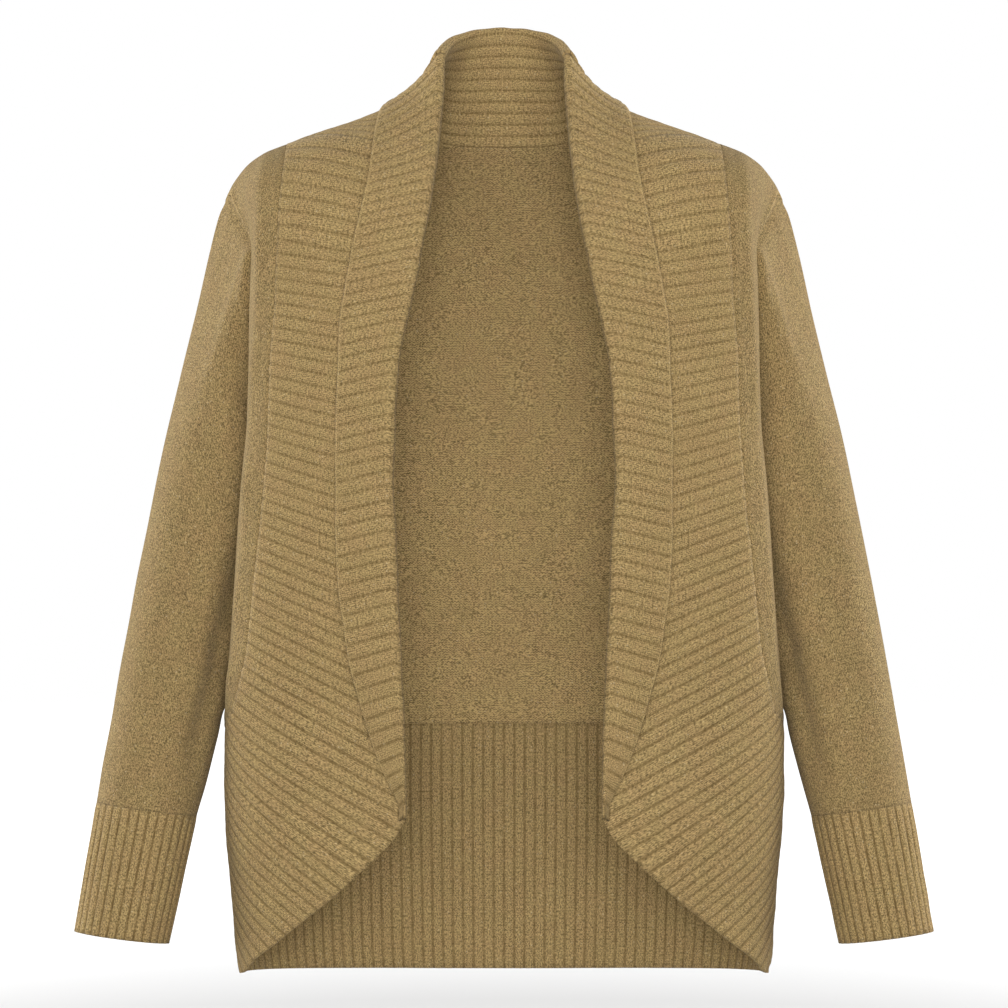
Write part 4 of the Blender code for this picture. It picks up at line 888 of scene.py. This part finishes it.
def back():
    """The back panel."""
    half = np.linspace(0, 1, 75)
    top_x = SHOULDER_X * (1 - half)
    neck_z = look_up(NECK_SEAM, "z", top_x)
    top = np.where(top_x < NECK_X, level_of(top_x, neck_z), RIDGE_LEVEL)
    rows = np.concatenate([np.linspace(HEM_TOP_Z - CHEST_Z, 0, 110)[:-1],
                           np.linspace(0, RIDGE_LEVEL, 64)])
    level = np.where(rows[:, None] <= 0, rows[:, None], rows[:, None] * top[None, :] / RIDGE_LEVEL)
    edge = np.where(level > UNDERARM_LEVEL, armhole_ring(level, "back_seam"), 2.0)
    first = share_at(edge, level)
    ring = ring_at(first + (2 - first) * half[None, :], level)
    blend = soft(rows / RIDGE_LEVEL)[:, None]
    ring_top = ring_of(top_x[None, :] - WALL / 2, level, back=True)
    ring_top[:, 0] = edge[:, 0]
    ring = ring * (1 - blend) + ring_top * blend
    side = torso(ring, level)
    side[:, -1, 0] = 0
    grid = np.concatenate([side, side[:, -2::-1] * (-1, 1, 1)], axis=1)
    down, across = lengths(grid)
    relief = fold_lines(BACK_CREASES, across[None, :], down[:, None])
    relief = relief + 0.5 * wobble(31, across[None, :], down[:, None], 90)
    relief = relief * clip01((RIDGE_LEVEL - rows) / 30)[:, None]
    to_side = np.minimum(across, across[-1] - across)[None, :]
    relief = relief - SIDE_SINK * (1 - soft(down / 32))[:, None] * (1 - soft(to_side / 70))
    return plain_shell("back_knit", "back", grid, side_normals(grid), relief)


def sleeve_row(row):
    item = dict(zip(SLEEVE_COLUMNS, row))
    outer = np.array([item["outer_x"], item["middle_y"], item["outer_z"]])
    inner = np.array([item["inner_x"], item["middle_y"], item["inner_z"]])
    half = unit(outer - inner) * WALL / 2
    return outer - half, inner + half, item["half_deep"] - WALL / 2, item["armhole"]


def sleeve_ellipse(row, turns):
    outer, inner, deep, _ = sleeve_row(row)
    centre, arm = (outer + inner) / 2, (outer - inner) / 2
    wide = np.linalg.norm(arm)
    cos, sin = np.cos(turns)[:, None], np.sin(turns)[:, None]
    front = np.array([0, -1.0, 0])
    normals = unit(arm / wide * cos / wide + front * sin / deep)
    return centre + arm * cos + front * sin * deep, normals


def armhole_side(seam, count):
    """Levels spaced evenly along one side of the armhole, top to bottom, and the points there."""
    levels = np.linspace(RIDGE_LEVEL, UNDERARM_LEVEL, 900)
    points = torso(armhole_ring(levels, seam), levels)
    run = running(gaps(points))
    even = np.interp(np.linspace(0, run[-1], count + 1), run, levels)
    return even, armhole_ring(even, seam)


def round_mean(values, reach):
    """The running mean of values round a closed loop."""
    return sum(np.roll(values, k, axis=0) for k in range(-reach, reach + 1)) / (2 * reach + 1)


def near_armhole(row, turns, start, top, low):
    """A section of the sleeve, drawn towards the armhole's own outline where it is near."""
    points, normals = sleeve_ellipse(row, turns)
    outer, inner, _, keep = sleeve_row(row)
    share = np.cos(turns / 2)[:, None] ** 2
    moved = start + (outer - top) * share + (inner - low) * (1 - share)
    return points * (1 - keep) + moved * keep, normals


def sleeve(name, seed, mirror):
    """A sleeve, from the armhole's seam to the cuff."""
    count = 58
    front_level, front_ring = armhole_side("front_seam", count)
    rear_level, rear_ring = armhole_side("back_seam", count)
    level = np.concatenate([front_level, rear_level[-2:0:-1]])
    ring = np.concatenate([front_ring, rear_ring[-2:0:-1]])
    turns = np.concatenate([np.linspace(0, math.pi, count + 1),
                            np.linspace(math.pi, 2 * math.pi, count + 1)[1:-1]])
    seam = torso(ring, level)
    low_level = np.minimum(level, 97)
    across = torso(ring + 0.01, low_level) - torso(ring - 0.01, low_level)
    up = torso(ring, low_level + 0.4) - torso(ring, low_level - 0.4)
    out = unit(round_mean(unit(np.cross(across, up)), 4))
    tangent = np.roll(seam, -1, axis=0) - np.roll(seam, 1, axis=0)
    along = unit(np.cross(tangent, out))
    along = along * np.sign(np.sum((seam.mean(axis=0) - seam) * along, axis=1, keepdims=True))
    top, low = seam[0], seam[len(seam) // 2]
    first, _ = near_armhole(SLEEVE[0], turns, seam, top, low)
    heading = first - seam
    angle = np.arctan2(np.sum(heading * out, axis=1), np.sum(heading * along, axis=1))
    along = unit(round_mean(along, 4))
    angle = round_mean(np.clip(angle, math.radians(-60), math.radians(100)), 4)[:, None]
    lift = np.abs(np.sin(angle)) * WALL / 2 + np.maximum(0, -np.cos(angle)) * WALL
    start = seam + along * lift
    second = start + (along * np.cos(angle) + out * np.sin(angle)) * 5.0
    rings = [start, second]
    for row in SLEEVE:
        rings.append(near_armhole(row, turns, second, top, low)[0])
    rings = np.array(rings)
    run = running(gaps(rings).mean(axis=1))
    fine = np.concatenate([np.linspace(0, 12, 9)[:-1], np.linspace(12, run[-1], 150)])
    grid = np.stack([np.stack([smooth(run, rings[:, k, c], fine) for k in range(rings.shape[1])],
                              axis=1) for c in range(3)], axis=-1)
    loop = np.concatenate([grid, grid[:, :1]], axis=1)
    wrapped = np.concatenate([grid[:, -1:], loop, grid[:, 1:2]], axis=1)
    normals = grid_normals(wrapped, wrapped - wrapped.mean(axis=1, keepdims=True))[:, 1:-1]
    down, around = lengths(loop)
    girth = around[-1]
    creases = [(girth * u0, v0, girth * u1, v1, width, height)
               for u0, v0, u1, v1, width, height in SLEEVE_CREASES]
    relief = 0
    for shift in (-girth, 0, girth):
        relief = relief + fold_lines(creases, around[None, :] + shift, down[:, None])
    hollow = soft((down - 40) / 120) * soft((down[-1] - down) / 90)
    share = (around / girth)[None, :]
    relief = relief - HOLLOW * hollow[:, None] * bump(share, 0.385, 0.055)
    calm = clip01(down / 30) * clip01((down[-1] - down) / 25)
    swell = 0.5 * wobble(seed, np.cos(share * 2 * math.pi) * 60, down[:, None], 70)
    relief = (relief + swell) * calm[:, None]
    tuck = bump(down, TUCK_PLACE, TUCK_REACH) * clip01(down / 2)
    front_side = clip01(np.cos((share - 0.2) * 2 * math.pi))
    relief = relief - TUCK * tuck[:, None] * front_side
    axis = unit(loop[-1].mean(axis=0) - loop[len(loop) // 3].mean(axis=0))
    return plain_shell(name + "_knit", name, loop, normals, relief, mirror, closed=True, axis=axis)


# ---- ribbed pieces
def ribbed_shell(node, middle, normals, phase, pitch, seed, material, mirror=False, closed=False):
    """A ribbed wall: its rows run across the ribs, and a phase is given for each column."""
    down, _ = lengths(middle)
    u, v = (phase * pitch)[None, :], down[:, None]
    shell = Shell()
    faces = []
    for sign in (1, -1):
        uneven = wobble(seed + sign, u, v, 34)
        if closed:
            turn = u / u[0, -1]
            uneven = uneven * (1 - turn) + wobble(seed + sign, u - u[0, -1], v, 34) * turn
        lift = RIB_RISE * rib_height(phase)[None, :] * (0.92 + 0.20 * uneven) - RIB_SINK
        lift = WALL / 2 + lift * (1 - bump(v, 0, 4.0))
        faces.append(shell.add(middle + normals * (sign * lift)[..., None], u, v))
        shell.skin(faces[-1], 0)
    shell.edges(*faces, closed)
    return shell.build(node + "_knit", (material,), node, mirror)


def rib_phases(count, places=RIB_PLACES):
    return np.append((np.arange(count)[:, None] + np.array(places)).ravel(), count)


def hem():
    """The ribbed hem of the back, from side seam to side seam."""
    phase = rib_phases(HEM_RIBS, FINE_RIB_PLACES)
    share = 1 + 2 * phase / HEM_RIBS
    near = np.minimum(share, 4 - share)[None, :]
    drop = HEM_DROP * (1 - (2 - near) ** 2)
    level = HEM_TOP_Z - CHEST_Z + (HEM_Z - HEM_TOP_Z - drop) * np.linspace(0, 1, 30)[:, None]
    grid = torso(ring_at(near, level), level)
    grid[..., 0] *= np.where(share > 2, -1, 1)
    note_cut("back_hem_rib", grid)
    normals = grid_normals(grid, grid * (1, 1, 0))
    normals[:, 0] = normals[:, 1]
    normals[:, -1] = normals[:, -2]
    swell = 0.8 * wobble(51, phase[None, :] * HEM_PITCH, level, 80)
    swell = swell * np.minimum(1, np.minimum(phase, HEM_RIBS - phase) / 3)[None, :]
    grid = grid + normals * swell[..., None]
    return ribbed_shell("back_hem_rib", grid, normals, phase, HEM_PITCH, 53, HEM_RIB)


def cuff(name, seed, mirror):
    """A ribbed cuff, its ribs spaced evenly round the tube."""
    fine = np.linspace(0, 2 * math.pi, 721)
    points, _ = sleeve_ellipse([(a + b) / 2 for a, b in zip(SLEEVE[-1], CUFF_END)], fine)
    run = running(gaps(points))
    phase = rib_phases(CUFF_RIBS, FINE_RIB_PLACES)
    turns = np.interp(phase / CUFF_RIBS, run / run[-1], fine)
    sections = [sleeve_ellipse([a + (b - a) * part for a, b in zip(SLEEVE[-1], CUFF_END)], turns)
                for part in np.linspace(0, 1, 26)]
    grid, normals = (np.array(list(each)) for each in zip(*sections))
    note_cut(name, grid)
    return ribbed_shell(name, grid, normals, phase, CUFF_PITCH, seed, CUFF_RIB, mirror, closed=True)


def collar():
    """The collar behind the shoulders: stand, fold and fall, with ribs along them."""
    turns = np.linspace(0, 90, 46)
    stand_phase = rib_phases(STAND_RIBS)
    fall_phase = rib_phases(FALL_RIBS)[1:]
    stand_part = stand_phase / STAND_RIBS
    value = {name: look_up(COLLAR, name, turns) for name in list(COLLAR)[1:]}
    level = level_of(value["base_x"], look_up(NECK_SEAM, "z", value["base_x"]))
    ring = np.minimum(ring_of(value["base_x"], level, back=True), 3.995)
    base = torso(ring, level)
    top = np.stack([value["crest_x"], value["crest_y"], value["crest_z"]], axis=-1)
    edge = np.stack([value["edge_x"], value["edge_y"], value["edge_z"]], axis=-1)
    ahead = unit(top - base)
    angle = np.radians(turns)[:, None]
    around = np.concatenate([np.cos(angle), np.sin(angle), 0 * angle], axis=1)
    face = unit(around - ahead * np.sum(around * ahead, axis=1, keepdims=True))
    last = top - ahead * TURN_RADIUS_TOP
    stand = base[:, None] + (last - base)[:, None] * stand_part[None, :, None]
    radius = np.full((len(turns), 1), TURN_RADIUS_TOP)
    puff = LAPEL_PUFF - (LAPEL_PUFF + TOP_SAG) * soft(1 - turns / SAG_TURN)[:, None]
    turned, turned_normal = turn_over(last, ahead, face, edge, radius, puff, LOOP_COUNT,
                                      FALL_COUNT)
    places = np.round(fall_phase / FALL_RIBS * FALL_COUNT).astype(int) + LOOP_COUNT - 1
    keep = np.concatenate([np.arange(LOOP_COUNT), places])
    turned, turned_normal = turned[:, keep], turned_normal[:, keep]
    points = np.concatenate([stand, turned], axis=1)
    normals = np.concatenate([np.broadcast_to(face[:, None], stand.shape), turned_normal], axis=1)
    loop_phase = STAND_RIBS + np.linspace(0, 1, LOOP_COUNT + 1)[1:]
    phase = np.concatenate([stand_phase, loop_phase, STAND_RIBS + 1 + fall_phase])
    points[0, :, 1] = 0
    normals[0, :, 1] = 0
    points[..., 1] = np.maximum(points[..., 1], 0)
    points[-1, :, 0] = 0
    normals[-1, :, 0] = 0
    flip = np.array([-1, 1, 1])
    points = np.concatenate([points, points[-2::-1] * flip])
    normals = unit(np.concatenate([normals, normals[-2::-1] * flip]))
    note_cut("collar_back", points)
    down, _ = lengths(points)
    u, v = (phase * BAND_PITCH)[None, :], down[:, None]
    shell = Shell()
    faces = []
    for sign in (1, -1):
        uneven = 0.85 + 0.28 * wobble(61 + sign, u, v, 30)
        lift = WALL / 2 - RIB_SINK + RIB_RISE * rib_height(phase)[None, :] * uneven
        faces.append(shell.add(points + normals * (sign * lift)[..., None], u, v))
        shell.skin(faces[-1], 0)
    shell.edges(*faces, side_slot=1)
    return shell.build("collar_back_knit", (BAND_RIB, EDGE), "collar_back")


pieces = {"back": back(), "back_hem_rib": hem(), "collar_back": collar()}
for side, mirror in (("left", False), ("right", True)):
    seed = 200 if mirror else 100
    pieces["front_" + side] = strip("front_" + side, seed, mirror)
    pieces["band_" + side] = band("band_" + side, seed + 10, mirror)
    pieces["sleeve_" + side] = sleeve("sleeve_" + side, seed + 30, mirror)
    pieces["cuff_" + side] = cuff("cuff_" + side, seed + 40, mirror)

# ---- stage, light and camera
CAMERA_Z = -0.307
CAMERA_AWAY = 5.0
PHOTO_WIDTH = 0.79632      # metres across the photo's frame at the garment's middle plane
FLOOR_Z = -0.745
STAGE_RADIUS = 9.0
STAGE_SIDES = 48
DOME_ROWS = 25
GLOW_FROM, GLOW_TO = 0.6, 2.6      # metres from the floor's middle, between which its glow grows
WORLD_LIGHT = 0.28
SENSOR = 36.0
# Name, place, target, size and watts of each.
LIGHTS = (
    ("front_box", (0.0, -4.2, 0.0), (0, 0, -0.35), (4.0, 2.4), 113),
    ("key_box", (0.0, -4.2, -0.3), (0, 0, -0.35), (1.0, 1.0), 65),
    ("left_rim_box", (-2.2, 0.95, 0.0), (0, 0, -0.30), (1.0, 2.0), 76),
    ("right_rim_box", (2.2, 0.95, 0.0), (0, 0, -0.30), (1.0, 2.0), 76),
    ("top_box", (0.0, -0.6, 2.4), (0, 0, 0), (1.6, 1.0), 18),
)


def stage_material(name, near, far, white):
    """Paper that glows: its light goes from near, under the garment, to far, further out."""
    material = bpy.data.materials.new(name)
    graph = Graph(material)
    place = graph.nodes.new("ShaderNodeTexCoord").outputs["Object"]
    away = graph.node("ShaderNodeVectorMath", place, operation="LENGTH").outputs["Value"]
    glow = graph.ramp(away, GLOW_FROM, GLOW_TO, near, far)
    graph.put(graph.shader.inputs["Emission Strength"], glow)
    graph.shader.inputs["Emission Color"].default_value = (1.0, 1.0, 1.0, 1.0)
    graph.shader.inputs["Base Color"].default_value = (white, white, white, 1.0)
    graph.shader.inputs["Roughness"].default_value = 1.0
    graph.shader.inputs["Specular IOR Level"].default_value = 0.0
    return material


def stage_piece(name, points, faces, material):
    """A piece of the stage. It is seen, and takes shadows, but doesn't light the garment."""
    mesh = bpy.data.meshes.new(name)
    mesh.from_pydata(points, [], faces)
    mesh.shade_smooth()
    mesh.materials.append(material)
    item = bpy.data.objects.new(name, mesh)
    item.location = (0, 0, FLOOR_Z)
    item.visible_diffuse = item.visible_glossy = item.visible_shadow = False
    bpy.context.scene.collection.objects.link(item)


def stage():
    """A round white floor, and a white dome over and under it."""
    turns = np.linspace(0, 2 * math.pi, STAGE_SIDES + 1)[:-1]
    ring = [(STAGE_RADIUS * math.cos(t), STAGE_RADIUS * math.sin(t), 0) for t in turns]
    paper = stage_material("white_paper", 0.13, 1.0, 0.60)
    stage_piece("floor", ring, [tuple(range(STAGE_SIDES))], paper)
    points, faces = [], []
    for k, tilt in enumerate(np.linspace(-math.pi / 2, math.pi / 2, DOME_ROWS)):
        points += [(x * math.cos(tilt), y * math.cos(tilt), STAGE_RADIUS * math.sin(tilt))
                   for x, y, _ in ring]
        if k:
            low, high = STAGE_SIDES * (k - 1), STAGE_SIDES * k
            beside = [(i, (i + 1) % STAGE_SIDES) for i in range(STAGE_SIDES)]
            faces += [(low + i, low + j, high + j, high + i) for i, j in beside]
    stage_piece("dome", points, faces, stage_material("white_dome", 1.0, 1.0, 0.0))


def area_light(name, place, target, size, power):
    data = bpy.data.lights.new(name, "AREA")
    data.shape = "RECTANGLE"
    data.size, data.size_y = size
    data.energy = power
    item = bpy.data.objects.new(name, data)
    item.location = place
    away = np.array(place) - np.array(target)
    flat = math.hypot(away[0], away[1])
    item.rotation_euler = (math.atan2(flat, away[2]), 0, math.atan2(away[1], away[0]) + math.pi / 2)
    item.visible_camera = False
    bpy.context.scene.collection.objects.link(item)


stage()
for light in LIGHTS:
    area_light(*light)
world = bpy.data.worlds.new("studio")
world.use_nodes = True
world.node_tree.nodes["Background"].inputs[0].default_value = (1.0, 1.0, 1.0, 1.0)
world.node_tree.nodes["Background"].inputs[1].default_value = WORLD_LIGHT
bpy.context.scene.world = world
bpy.context.scene.view_settings.view_transform = "Standard"
camera_data = bpy.data.cameras.new("camera")
camera_data.sensor_width = SENSOR
camera_data.lens = SENSOR * CAMERA_AWAY / PHOTO_WIDTH
camera = bpy.data.objects.new("camera", camera_data)
camera.location = (0.0, -CAMERA_AWAY, CAMERA_Z)
camera.rotation_euler = (math.pi / 2, 0, 0)
bpy.context.scene.collection.objects.link(camera)
bpy.context.scene.camera = camera
